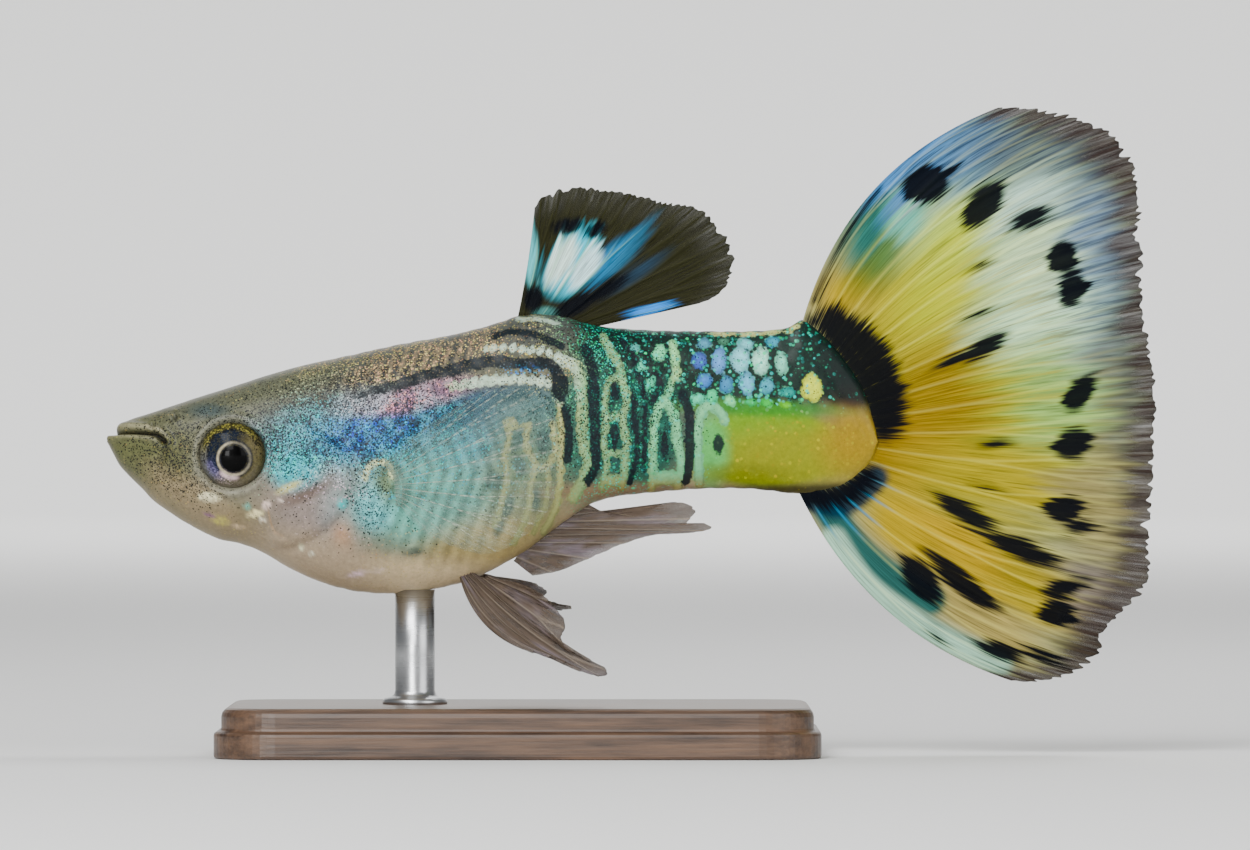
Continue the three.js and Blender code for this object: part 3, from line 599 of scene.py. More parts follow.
# Rows of cream scales, broken into upright beads.
beadBands = {
    "upperCream": ([(487, 350), (510, 348), (535, 350), (552, 354), (562, 362)], 4.4),
    "lowerCream": ([(452, 386), (475, 383), (500, 380), (525, 380), (548, 384)], 6.0),
}
creamBands = {
    "saddle": ([(518, 320), (535, 319), (556, 323)], 2.2),
    "barOneCream": (
        [(560, 359), (574, 366), (581, 382), (583, 410), (583, 440), (588, 464), (583, 480), (573, 498)], 6.0,
    ),
    "ringRise": ([(604, 338), (611, 350), (619, 366), (623, 382)], 4.6),
    "ringFront": ([(616, 378), (607, 386), (605, 402), (607, 420), (604, 440), (606, 465), (602, 489)], 3.4),
    "ringBack": ([(616, 378), (624, 388), (627, 404), (623, 420), (627, 440), (625, 462), (622, 488)], 4.2),
    "ringWaistOne": ([(606, 416), (624, 416)], 4.2), "ringWaistTwo": ([(606, 453), (624, 453)], 3.4),
    "ringFoot": ([(606, 480), (621, 480)], 6.0),
    "archRise": ([(672, 343), (676, 356), (674, 372), (667, 398)], 3.6),
    "archFront": ([(665, 400), (657, 416), (654, 440), (654, 465), (651, 490)], 4.6),
    "archBack": ([(665, 400), (674, 418), (677, 442), (681, 462), (677, 490)], 5.0),
    "archFoot": ([(656, 478), (677, 478)], 7.0),
    "greenArch": ([(700, 484), (698, 450), (699, 420), (706, 407), (717, 408), (724, 420)], 5.0),
    "netLineA": ([(509, 420), (510, 436), (506, 454), (508, 470), (504, 494), (495, 524)], 3.0),
    "netLineB": ([(530, 424), (527, 446), (535, 464), (531, 486), (527, 514), (514, 544)], 3.4),
    "netLineC": ([(552, 424), (556, 450), (546, 466), (534, 466)], 3.4),
    "netLineD": ([(560, 400), (561, 450), (558, 500), (545, 532)], 4.0),
    "netLineE": ([(548, 470), (547, 500), (534, 534)], 2.4),
    "netBridge": ([(510, 426), (529, 424)], 2.4),
}
creamOvals = {"netDot": (511, 424, 9, 8, 0)}
# Pale scales on the dark upper stalk: the oval of each, and its colour.
stalkMoons = {
    "lastMoon": ((811, 388, 14, 11, 90), (214, 224, 132)),
    "upperOne": ((699, 361, 10, 8, 90), (74, 96, 160)), "upperTwo": ((719, 361, 13, 8, 90), (112, 150, 196)),
    "upperThree": ((740, 360, 14, 9, 90), (150, 204, 210)), "upperFour": ((760, 361, 14, 9, 90), (176, 226, 206)),
    "upperFive": ((781, 363, 12, 6, 90), (150, 214, 190)), "lowerOne": ((704, 382, 8, 8, 0), (84, 124, 180)),
    "lowerTwo": ((726, 385, 9, 7, 90), (86, 134, 170)), "lowerThree": ((746, 384, 11, 8, 90), (124, 178, 202)),
    "lowerFour": ((767, 386, 9, 8, 90), (100, 160, 174)), "lowerFive": ((788, 392, 8, 5, 0), (72, 150, 140)),
    "topOne": ((704, 343, 7, 5, 0), (104, 150, 170)), "topTwo": ((745, 344, 8, 6, 0), (140, 196, 200)),
    "topThree": ((772, 342, 8, 6, 20), (84, 146, 164)), "topFour": ((724, 341, 6, 4, 0), (90, 130, 110)),
    "edgeOne": ((722, 333, 11, 2.6, -4), (214, 216, 160)), "edgeTwo": ((748, 334, 11, 2.8, 6), (222, 224, 170)),
    "edgeThree": ((772, 331, 11, 2.8, 12), (214, 218, 164)), "edgeFour": ((793, 327, 8, 3, 34), (222, 222, 166)),
    "mintOne": ((640, 367, 5, 5, 0), (130, 220, 184)), "mintTwo": ((659, 353, 9, 7, 60), (140, 214, 170)),
    "mintThree": ((675, 355, 13, 5, 100), (168, 222, 170)), "mintFour": ((651, 382, 10, 4, 60), (120, 206, 170)),
    "mintFive": ((676, 374, 9, 4, 80), (176, 212, 160)), "mintSix": ((634, 347, 5, 4, 0), (120, 190, 180)),
    "mintSeven": ((697, 400, 8, 5, 20), (130, 226, 186)), "mintEight": ((712, 397, 6, 6, 0), (110, 214, 160)),
    "mintNine": ((730, 401, 6, 5, 0), (150, 230, 170)), "mintTen": ((750, 402, 6, 4, 0), (90, 190, 120)),
    "mintEleven": ((766, 403, 6, 5, 0), (100, 196, 110)), "mintTwelve": ((785, 405, 6, 4, 0), (130, 200, 100)),
}
# Broad tints: oval, softness, screen colour, strength.
skinZones = [
    ((215, 490, 120, 70, 0), 0.6, (132, 124, 102), 0.9),
    ((235, 408, 130, 24, 18), 0.5, (96, 98, 84), 0.8),
    ((138, 452, 34, 34, 40), 0.6, (92, 94, 70), 0.95),
    ((168, 436, 26, 9, -12), 0.7, (112, 112, 96), 0.6),
    ((184, 470, 20, 34, 0), 0.6, (98, 98, 74), 0.8),
    ((238, 459, 46, 42, 0), 0.3, (138, 138, 128), 0.75),
    ((262, 432, 14, 8, -40), 0.6, (164, 160, 154), 0.7),
    ((211, 411, 19, 7, 0), 0.8, (62, 76, 80), 0.7),
    ((205, 505, 60, 18, -35), 0.5, (148, 136, 116), 0.8),
    ((315, 505, 50, 42, 0), 0.6, (148, 138, 134), 0.85),
    ((350, 505, 26, 40, 0), 0.6, (150, 160, 160), 0.7),
    ((344, 536, 11, 15, 0), 0.9, (190, 144, 110), 0.6),
    ((372, 540, 16, 14, 0), 0.8, (140, 132, 118), 0.6),
    ((305, 436, 44, 24, 0), 0.6, (98, 128, 134), 0.8),
    ((300, 470, 24, 17, 12), 0.6, (84, 176, 184), 0.95),
    ((310, 492, 26, 6, 24), 0.8, (84, 66, 58), 0.7),
    ((292, 486, 13, 3.4, 24), 0.6, (214, 206, 156), 0.9),
    ((178, 452, 15, 22, 0), 0.8, (78, 80, 58), 0.6),
    ((376, 432, 52, 24, 12), 0.6, (38, 92, 148), 0.95),
    ((440, 440, 60, 36, 0), 0.6, (96, 150, 166), 0.9),
    ((430, 500, 66, 46, 0), 0.6, (122, 176, 164), 0.9),
    ((375, 508, 18, 22, 20), 0.5, (130, 186, 188), 0.85),
    ((388, 480, 9, 22, 0), 0.7, (112, 120, 92), 0.8),
    ((490, 408, 62, 20, 8), 0.6, (54, 76, 102), 0.95),
    ((530, 430, 36, 40, 0), 0.5, (84, 114, 112), 0.85),
    ((525, 485, 36, 50, 0), 0.5, (114, 128, 100), 0.85),
    ((480, 548, 66, 30, 20), 0.6, (176, 162, 126), 0.9),
    ((400, 582, 110, 22, 0), 0.6, (222, 206, 178), 0.95),
    ((325, 562, 60, 26, -20), 0.6, (178, 164, 146), 0.9),
    ((420, 396, 50, 13, 15), 0.5, (172, 138, 150), 0.9),
    ((355, 402, 24, 12, 20), 0.6, (168, 160, 158), 0.7),
]
stalkZones = [
    ((585, 430, 30, 70, 0), 0.5, (64, 98, 86), 0.9),
    ((640, 440, 50, 60, 0), 0.45, (38, 78, 68), 0.95),
    ((620, 492, 90, 8, 0), 0.7, (142, 122, 102), 0.8),
    ((765, 447, 74, 40, 0), 0.14, (124, 156, 48), 1.0),
    ((800, 458, 84, 32, 0), 0.5, (144, 146, 24), 0.95),
    ((856, 440, 34, 36, 0), 0.7, (156, 134, 4), 0.95),
    ((710, 452, 18, 36, 0), 0.5, (118, 184, 122), 0.9),
    ((740, 474, 50, 10, 0), 0.6, (120, 124, 40), 0.7),
    ((755, 408, 76, 8, -2), 0.6, (70, 130, 66), 0.85),
    ((790, 490, 100, 6, 2), 0.8, (46, 44, 12), 0.9),
    ((852, 396, 12, 10, 0), 0.8, (96, 44, 20), 0.6),
]
# Small painted glints of the cheek and breast: oval, softness, colour.
cheekGlints = [
    ((212, 497, 11, 5, -8), 0.3, (255, 250, 220)), ((222, 520, 9, 4, -12), 0.5, (196, 188, 132)),
    ((212, 515, 6, 2, -20), 0.7, (132, 104, 122)), ((256, 514, 9, 3.4, 12), 0.3, (255, 246, 206)),
    ((268, 505, 5, 4, 20), 0.5, (236, 218, 208)), ((264, 520, 4, 2, 0), 0.5, (250, 244, 226)),
    ((248, 507, 4, 3, 0), 0.6, (134, 176, 160)), ((301, 547, 3, 3, 0), 0.5, (246, 244, 216)),
    ((312, 553, 3, 2, 0), 0.5, (246, 244, 226)), ((343, 502, 5, 5, 0), 0.6, (110, 196, 196)),
    ((240, 526, 8, 2, -10), 0.5, (214, 196, 170)), ((282, 500, 3, 2, 0), 0.5, (230, 216, 206)),
    ((358, 573, 9, 2.6, 14), 0.6, (236, 214, 220)), ((378, 570, 7, 2, 10), 0.7, (236, 220, 210)),
]


# Where the fine and the coarse cells shine, and where the black dots lie: oval, softness, share.
sparkleSpots = [
    ((370, 440, 130, 46, 8), 0.4, 0.55), ((450, 500, 90, 60, 0), 0.5, 0.2), ((600, 420, 60, 90, 0), 0.5, 0.25),
]
fleckSpots = [
    ((300, 468, 26, 20, 10), 0.5, 0.5), ((370, 430, 70, 30, 10), 0.5, 0.34), ((641, 440, 14, 50, 0), 0.5, 0.3),
    ((420, 366, 80, 16, 15), 0.5, 0.3), ((640, 440, 60, 60, 0), 0.5, 0.24), ((528, 370, 22, 4, 0), 0.5, 0.55),
    ((790, 440, 90, 50, 0), 0.5, 0.2),
]
pepperSpots = [
    ((356, 422, 104, 44, 12), 0.5, 0.8), ((180, 466, 50, 50, 0), 0.5, 0.4), ((178, 450, 17, 24, 0), 0.6, 0.4),
    ((285, 420, 70, 40, 15), 0.6, 0.35), ((372, 492, 18, 40, 0), 0.5, 0.45), ((610, 400, 80, 80, 0), 0.5, 0.3),
]
# Colour of the shining cells: oval, softness, screen colour, strength.
glintZones = [
    ((400, 450, 150, 70, 0), 0.4, (110, 206, 214), 1.0), ((376, 428, 56, 24, 10), 0.5, (60, 140, 222), 1.0),
    ((300, 466, 30, 24, 0), 0.5, (96, 226, 226), 1.0), ((420, 396, 54, 14, 15), 0.4, (244, 190, 196), 1.0),
    ((360, 404, 30, 12, 15), 0.4, (216, 216, 220), 1.0), ((430, 360, 100, 16, 15), 0.4, (220, 200, 164), 1.0),
    ((528, 370, 30, 8, 0), 0.4, (80, 170, 226), 1.0), ((330, 512, 50, 44, 0), 0.5, (206, 190, 196), 1.0),
]
# Areas that have a pattern of their own, in pixels.
skinAreas = {
    "ribs": (450, 470, 76, 80, 0), "shoulder": (362, 430, 106, 34, 9), "flank": (450, 490, 90, 70, 0),
    "pink": (412, 397, 56, 13, 15), "goldBars": (420, 362, 76, 11, 16), "barGaps": (400, 372, 90, 14, 16),
    "net": (390, 405, 90, 42, 12), "smooth": (440, 510, 110, 70, 0), "blueKnot": (528, 370, 60, 20, 0),
}


# Broad tints from belly to back, the zones over them, then ribs, clumps and bars as waves and soft noise.
def skinColours(px, py, high):
    base = evenColour(px, 116, 114, 98)
    base = layColour(base, ramp(high, 0.62, 0.98), tint(86, 88, 76))
    base = layColour(base, 1 - ramp(high, 0.0, 0.3), tint(184, 168, 144))
    base = layZones(base, px, py, skinZones)
    # the muscle blocks show through the flank as slanting ribs
    ribs = 0.5 + 0.5 * np.sin((px + 0.35 * np.abs(py - 470)) / 15 * 2 * np.pi)
    base = base * (1 + (0.8 * ribs - 0.4) * softSpot(px, py, skinAreas["ribs"]))[..., None]
    back = ramp(px, 300, 380) * (1 - ramp(px, 560, 600)) * ramp(high, 0.78, 0.9)
    base = layColour(base, 0.85 * back, tint(78, 81, 78))
    # dark and bright patches in the shiny shoulder
    clump = ramp(softNoise(px, py, 10.0, 37), -0.3, 0.35)
    shoulder = softSpot(px, py, skinAreas["shoulder"])
    base = layColour(base, 0.78 * (1 - clump) * shoulder, tint(22, 36, 58))
    base = layColour(base, 0.5 * clump * shoulder, tint(130, 190, 208))
    patches = 0.4 * ramp(softNoise(px, py, 16.0, 43), -0.4, 0.4) - 0.2
    base = base * (1 + patches * softSpot(px, py, skinAreas["flank"]))[..., None]
    pink = softSpot(px, py, skinAreas["pink"])
    base = layColour(base, 0.5 * (1 - clump) * pink, tint(84, 76, 96))
    base = layColour(base, 0.4 * clump * pink, tint(206, 190, 196))
    # upright gold bars in the scale rows above the stripe
    bars = ramp(np.sin((px + 0.3 * (py - 370)) / 10.5 * 2 * np.pi), -0.2, 0.6)
    base = layColour(base, 0.5 * bars * softSpot(px, py, skinAreas["goldBars"], 0.7), tint(160, 144, 120))
    base = layColour(base, 0.6 * (1 - bars) * softSpot(px, py, skinAreas["barGaps"], 0.7), tint(54, 52, 52))
    stalkTop = ramp(px + 4 * np.sin(py / 5), 562, 596) * ramp(404 - py + 3 * np.sin(px / 3.3), -8, 8)
    base = layColour(base, 0.95 * stalkTop, tint(18, 38, 34))
    base = layZones(base, px, py, stalkZones)
    return layColour(base, 0.95 * stalkEnd(px, py), tint(10, 24, 22))


# The dark upper end of the stalk, which runs into the black root of the tail.
def stalkEnd(px, py):
    return ramp(px, 796, 846) * ramp(404 - py + (px - 800) * 0.12, -6, 14)


print("tools ready")


# The rings pushed in and out along their normals by the relief, and closed with a point at each end.
def buildSkin():
    rings = skinRings()
    normal = outward(rings)
    x, y, z = rings[..., 0], rings[..., 1], rings[..., 2]
    top, foot, middle = section(x[:, :1])[:3]
    high = (z - foot) / (top - foot)
    q = (z - middle) * scales["bent"] + (z - scales["level"]) * (1 - scales["bent"])
    side = np.where(y < 0, 0.0, 1.0)
    px, py = toPixels(x, z)
    # the far side carries the same markings, wandering a little
    px = px + side * 3 * softNoise(x, z, 2.5, 31)
    py = py + side * 3 * softNoise(x, z, 2.5, 57)
    wx = px + 2.0 * softNoise(x, z, 0.9, 11)
    wy = py + 2.0 * softNoise(x, z, 0.9, 17)

    ink = markField(wx, wy, inkBands, inkOvals)
    beads = 3.6 * np.abs(np.sin((px + 0.3 * py) / 9.5 * np.pi)) ** 5
    cream = np.maximum(markField(wx, wy, creamBands, creamOvals), markField(wx, wy, beadBands, {}) - beads)
    # the stripe starts thin at the front
    ink = ink - 4.5 * (1 - ramp(px, 350, 400)) * ramp(px, 330, 345)
    cream = np.where(ink > 1.5, np.minimum(cream, -1), cream)

    mark = evenColour(px, 178, 180, 138)
    mark = layColour(mark, ramp(px, 420, 480) * ramp(410 - py, 0, 14), tint(208, 226, 208))
    mark = layColour(mark, ramp(px, 563, 590), tint(148, 178, 138))
    mark = layColour(mark, ramp(px, 644, 655), tint(142, 200, 158))
    mark = layColour(mark, ramp(py, 470, 490) * ramp(px, 590, 610), tint(158, 150, 110))
    moons = np.full(px.shape, -99.0)
    for oval, shade in stalkMoons.values():
        field = ovalField(wx, wy, oval)
        mark = layColour(mark, (field > moons) * ramp(field, -2.5, 0), tint(*shade))
        moons = np.maximum(moons, field)
    mark = mark * (1 + 0.35 * ramp(moons, 1, 7) * (1 - ramp(py, 352, 420)))[..., None]
    cream = np.maximum(cream, moons)
    ink = np.where(cream > 0.5, np.minimum(ink, -0.5), ink)
    mark = mark * (1 - 0.4 * bell(cream, 1.4, 0.5))[..., None]

    far = scaleNet(x, q)
    skin = skinColours(px, py, high)
    netDepth = 0.14 + 0.6 * softSpot(px, py, skinAreas["net"], 0.6)
    netShade = netDepth * ramp(far, 0.6, 1.0) * ramp(x, -13.5, -11)
    skin = skin * (1 - netShade[..., None])
    for oval in duskOvals.values():
        skin = layColour(skin, 0.72 * ramp(ovalField(wx, wy, oval), -2, 3), tint(52, 70, 72))
    broken = 0.45 + 0.55 * ramp(softNoise(x, z, 0.11, 29), -0.25, 0.15)
    # painted glints on the cheek and breast, broken up by noise
    for oval, blur, shade in cheekGlints:
        skin = layColour(skin, broken * softSpot(wx, wy, oval, blur), tint(*shade))

    # relief: scales, gill cover, eye socket, mouth, nostrils
    smoothFlank = 1 - 0.8 * softSpot(px, py, skinAreas["smooth"])
    push = -relief["scale"] * ramp(far, 0.2, 1.0) * ramp(x, -13.6, -11.5) * smoothFlank
    gillLine = -bandField(x, z, gillOutline + gillOutline[:1], 0, 6)
    signed = np.where(insidePolygon(x, z, gillOutline), gillLine, -gillLine)
    rear = ramp(x - 0.35 * (z - 10.6), -14.2, -12.6)
    push += relief["gillCover"] * ramp(signed, -0.05, 0.4)
    push -= relief["gillGroove"] * rear * bell(signed, 0.1, -0.07)
    eyeFar = np.hypot(x - eye["x"], z - eye["z"])
    push -= relief["eyeSocket"] * (1 - ramp(eyeFar, eye["radius"] - 0.1, eye["radius"] + 0.08))
    push += relief["eyeRim"] * bell(eyeFar, 0.15, eye["radius"] + 0.2)
    mouth = awayFrom(x, z, face["mouth"])
    cornerFold = awayFrom(x, z, face["cornerFold"])
    push += relief["lip"] * bell(mouth, 0.13, 0.24) - relief["mouth"] * bell(mouth, 0.085)
    push -= relief["cornerFold"] * bell(cornerFold, 0.08)
    push -= relief["cheekLine"] * bell(awayFrom(x, z, face["cheekLine"]), 0.08)
    nostril = np.minimum(*[np.hypot(x - holeX, z - holeZ) for holeX, holeZ in face["nostrils"]])
    push += relief["nostrilRim"] * bell(nostril, 0.08, 0.22) - relief["nostril"] * bell(nostril, 0.12)
    push += relief["headGrain"] * softNoise(x, z, 0.5, 5) * (1 - ramp(x, -14, -11))
    nose, end = body["snoutX"], body["stalkEndX"]
    fade = ramp(x, nose, nose + 0.12) * (1 - ramp(x, end - 0.3, end))
    rings = rings + normal * (push * fade)[..., None]

    # painted shade in the recesses: the mouth slit, the groove behind the gill cover, the nostrils and the fold
    # at the mouth's corner
    dark = 0.95 * bell(mouth, 0.1) + 0.16 * rear * bell(signed, 0.14, -0.07)
    dark = dark + 0.6 * bell(nostril, 0.11) + 0.3 * bell(cornerFold, 0.09)
    skin = layColour(skin, dark, tint(22, 20, 16))
    lip = bell(mouth, 0.09, 0.2) * (1 - ramp(px, 168, 176)) * ramp(432 - py, -12, 0)
    skin = layColour(skin, 0.6 * lip, tint(176, 172, 148))
    gold = bell(awayFrom(x, z, face["goldLine"]), 0.04)
    skin = layColour(skin, 0.5 * broken * gold, tint(176, 148, 118))
    # the pale hook over the root of the breast fin
    hook = bandField(wx, wy, face["finHook"], 2.4)
    skin = layColour(skin, 0.9 * ramp(hook, -2, 1.5), tint(226, 230, 190))

    # shares of fine and coarse cells that shine, their colour, and the share of black dots
    sparkle = 0.16 + 0.45 * ramp(high, 0.6, 0.9) * (1 - ramp(px, 600, 660)) * ramp(px, 250, 330)
    sparkle = sparkle + sumSpots(px, py, sparkleSpots)
    sparkle = np.clip(sparkle * (1 + 0.8 * softNoise(x, z, 1.2, 83)), 0, 1) * (1 - 0.5 * ramp(px, 700, 730))
    fleck = sumSpots(px, py, fleckSpots) + 0.42 * ramp(px, 600, 640) * ramp(404 - py, -4, 4)
    fleck = fleck * (1 - 0.8 * stalkEnd(px, py))
    glint = layZones(evenColour(px, 196, 180, 134), px, py, glintZones)
    greenShare = ramp(px, 520, 590) * (1 - softSpot(px, py, skinAreas["blueKnot"], 0.4))
    glint = layColour(glint, greenShare, tint(96, 200, 170))
    glint = layColour(glint, ramp(px, 700, 740) * ramp(py, 400, 425), tint(206, 196, 60))
    pepper = 0.1 + sumSpots(px, py, pepperSpots)
    pepper = pepper * ramp(high, 0.02, 0.35) * (1 - 0.85 * ramp(px, 690, 720) * ramp(py, 396, 410))

    grid = np.arange(x.size).reshape(x.shape)
    points = np.concatenate([rings.reshape(-1, 3), [(nose, 0, body["tipZ"]), (end, 0, body["tipZ"])]])
    faces = ringFaces(grid, True) + fanFaces(x.size, grid[0]) + fanFaces(x.size + 1, grid[-1], True)
    nodes = ("head", "lower_jaw", "gill_cover_left", "gill_cover_right", "trunk", "tail_stalk")
    piece = addMesh("fishSkin", points, faces, skinMaterial(), nodes)

    def withTips(values):
        flat = values.reshape(-1, *values.shape[2:])
        return np.concatenate([flat, flat[:1], flat[-1:]])

    giveColours(piece, "skinTint", withTips(skin))
    giveColours(piece, "markTint", withTips(mark))
    giveColours(piece, "glintTint", withTips(glint))
    numbers = {"inkField": ink, "creamField": cream, "sparkle": sparkle, "fleck": fleck, "pepper": pepper}
    for key, values in numbers.items():
        giveNumbers(piece, key, withTips(values))
    return piece


# Patches of the ring, measured from the pupil or from the middle of the eye: direction and half width in
# degrees, inner edge, outer edge and softness in millimetres, screen colour, strength.
eyePatches = [
    ("pupil", -15, 70, (0.76, 1.3, 0.07), (98, 92, 72), 0.9),
    ("pupil", -15, 60, (0.9, 0.93, 0.03), (52, 48, 40), 0.6),
    ("pupil", 282, 52, (0.84, 1.3, 0.07), (104, 100, 88), 0.85),
    ("middle", 190, 40, (1.02, 1.35, 0.08), (106, 106, 100), 0.75),
    ("middle", 222, 28, (0.85, 1.1, 0.1), (84, 80, 106), 0.6),
    ("middle", 100, 62, (1.08, 1.35, 0.06), (100, 98, 66), 0.9),
    # painted glints below the pupil
    ("pupil", 260, 24, (0.62, 0.84, 0.06), (220, 200, 200), 0.85),
]


# 1 between low and high, falling smoothly to 0 at both edges.
def span(value, low, high, blur):
    return ramp(value, low - blur, low + blur) * (1 - ramp(value, high - blur, high + blur))


# Flattened ball: radius in side view from the middle of the front, closed at the back.
def buildEye(name, side, node):
    rows, around = 150, 220
    t = (np.linspace(0, 1, rows) ** 1.15 * np.pi)[:, None]
    a = (np.arange(around) / around * 2 * np.pi)[None, :]
    r = eye["radius"] * np.sin(t)
    centreY = flank(eye["x"], eye["z"]) + eye["proud"] - eye["halfDepth"]
    lens = 0.1 * np.exp(-((r / 0.62) ** 4)) * (t < 1.5)
    y = side * (centreY + eye["halfDepth"] * np.cos(t) + lens) + 0 * a
    x = eye["x"] + r * np.cos(a)
    z = eye["z"] + r * np.sin(a)
    points = np.stack([x, y, z], axis=-1)
    grid = np.arange(rows * around).reshape(rows, around)
    front, back = grid[0, 0], grid[-1, -1]
    faces = ringFaces(grid[1:-1], side > 0)
    tips = fanFaces(front, grid[1], side < 0) + fanFaces(back, grid[-2], side > 0)
    # each pole keeps one point of its row
    keep = np.concatenate([[front], grid[1:-1].ravel(), [back]])
    where = np.full(rows * around, -1)
    where[keep] = np.arange(len(keep))
    faces = where[faces].tolist() + where[tips].tolist()
    piece = addMesh(name, points.reshape(-1, 3)[keep], faces, eyeMaterial(), [node])

    far = np.hypot(x - eye["x"] - eye["pupilShift"][0], z - eye["z"] - eye["pupilShift"][1])
    turn = np.degrees(np.arctan2(z - eye["z"], x - eye["x"]))

    # 1 within so many degrees of a direction, falling smoothly to 0
    def toward(middle, half):
        return 1 - ramp(np.abs((turn - middle + 180) % 360 - 180), half * 0.6, half * 1.4)

    colour = evenColour(x, 24, 30, 42)
    for start, middle, half, edges, shade, share in eyePatches:
        part = span(far if start == "pupil" else r, *edges)
        colour = layColour(colour, share * toward(middle, half) * part, tint(*shade))
    ring = span(far, 0.6, 0.69, 0.045)
    colour = layColour(colour, ring * (0.32 + 0.58 * toward(205, 100)), tint(194, 186, 164))
    colour = layColour(colour, 0.8 * span(far, 0.52, 0.56, 0.03), tint(40, 36, 30))
    colour = layColour(colour, 0.7 * ramp(r, 1.22, 1.31), tint(104, 102, 90))
    glint = layColour(evenColour(x, 176, 168, 112), toward(225, 45), tint(138, 134, 168))
    glint = layColour(glint, toward(262, 26), tint(240, 220, 220))
    giveColours(piece, "eyeTint", colour.reshape(-1, 3)[keep])
    giveColours(piece, "glintTint", glint.reshape(-1, 3)[keep])
    speck = 0.1 + 0.75 * toward(105, 62) * span(r, 1.04, 1.28, 0.08)
    speck = speck + 0.6 * toward(232, 36) * span(r, 0.8, 1.15, 0.1)
    numbers = {
        "pupil": 1 - ramp(far, 0.505, 0.53), "sparkle": speck * (1 - ring),
        "pepper": 0.55 * toward(100, 90) * span(r, 0.95, 1.3, 0.05),
    }
    for key, values in numbers.items():
        giveNumbers(piece, key, values.ravel()[keep])
    return piece


caudalFin = {
    "root": [
        (6.76, 17.36), (8.24, 16.08), (9.12, 14.76), (9.56, 13.36), (9.68, 12.56), (9.4, 11.64),
        (8.56, 10.84), (6.64, 10.4),
    ],
    "rim": [
        (14.64, 25.88), (16.24, 25.84), (17.84, 25.52), (19.24, 24.8), (20.04, 23.76), (20.32, 22.16),
        (20.4, 20.16), (20.48, 18.16), (20.72, 16.36), (21.04, 14.76), (20.88, 12.96), (20.92, 10.96),
        (20.68, 8.96), (20.72, 7.16), (20.04, 5.96), (18.88, 4.88), (18.64, 3.84), (17.12, 3.04),
        (15.64, 2.76),
    ],
    "bow": (-0.25, 0.22), "rays": 17, "splits": (0.28, 0.55), "rows": 80, "columns": 596,
}
dorsalFin = {
    "root": [(-4.64, 17.52), (-3.76, 17.64), (-2.56, 17.44), (-1.36, 17.12)],
    "rim": [
        (-3.96, 21.96), (-3.56, 22.36), (-2.72, 22.68), (-1.56, 22.7), (-0.04, 22.44), (1.44, 22.12),
        (2.6, 21.88), (3.28, 21.32), (3.8, 20.64), (4.08, 19.68), (3.92, 19.12), (3.52, 18.44),
        (2.64, 18.04),
    ],
    "bow": (0.03, 0), "rays": 8, "splits": (0.35, 2), "rows": 80, "columns": 289,
}
pelvicFin = {
    "root": [(-6.92, 6.92), (-5.76, 7.08)],
    "rim": [
        (-4.32, 4.2), (-2.98, 3.8), (-1.88, 3.28), (-1.06, 3.12), (-1.06, 3.4), (-1.52, 3.64),
        (-2.24, 4), (-2.68, 4.16), (-2.84, 4.6), (-2.72, 5.28), (-2.98, 5.64), (-3.36, 6.08),
        (-3.72, 6.44),
    ],
    "bow": (0.25, -0.1), "rays": 6, "splits": (0.6, 2), "rows": 60, "columns": 121,
}
analFin = {
    "root": [(-4.76, 7.68), (-4.16, 8.24), (-2.96, 9.16), (-1.76, 9.96)],
    "rim": [
        (-4.04, 7.12), (-2.96, 7.32), (-1.88, 7.76), (-0.76, 8.24), (0.2, 8.6), (1.04, 8.78),
        (1.68, 8.8), (2.64, 8.88), (3.16, 9.04), (2.84, 9.24), (2.2, 9.2), (2.4, 9.52), (2.56, 9.76),
        (2.16, 10.04), (1.52, 10.08), (1.08, 9.96), (0.36, 9.56), (-0.76, 9.4),
    ],
    "bow": (0, 0), "rays": 8, "splits": (2, 2), "rows": 60, "columns": 145,
}
pectoralFin = {
    "root": [(-9.88, 11.68), (-9.48, 10.96), (-9.36, 9.96)],
    "rim": [
        (-8.16, 13.16), (-6.04, 14.44), (-4.28, 14.72), (-3.36, 14.16), (-2.96, 12.96), (-2.88, 11.36),
        (-3.36, 9.76), (-4.56, 8.56), (-6.04, 8.04), (-8.16, 8.76),
    ],
    "bow": (0, 0), "rays": 12, "splits": (0.4, 2), "rows": 80, "columns": 337,
}


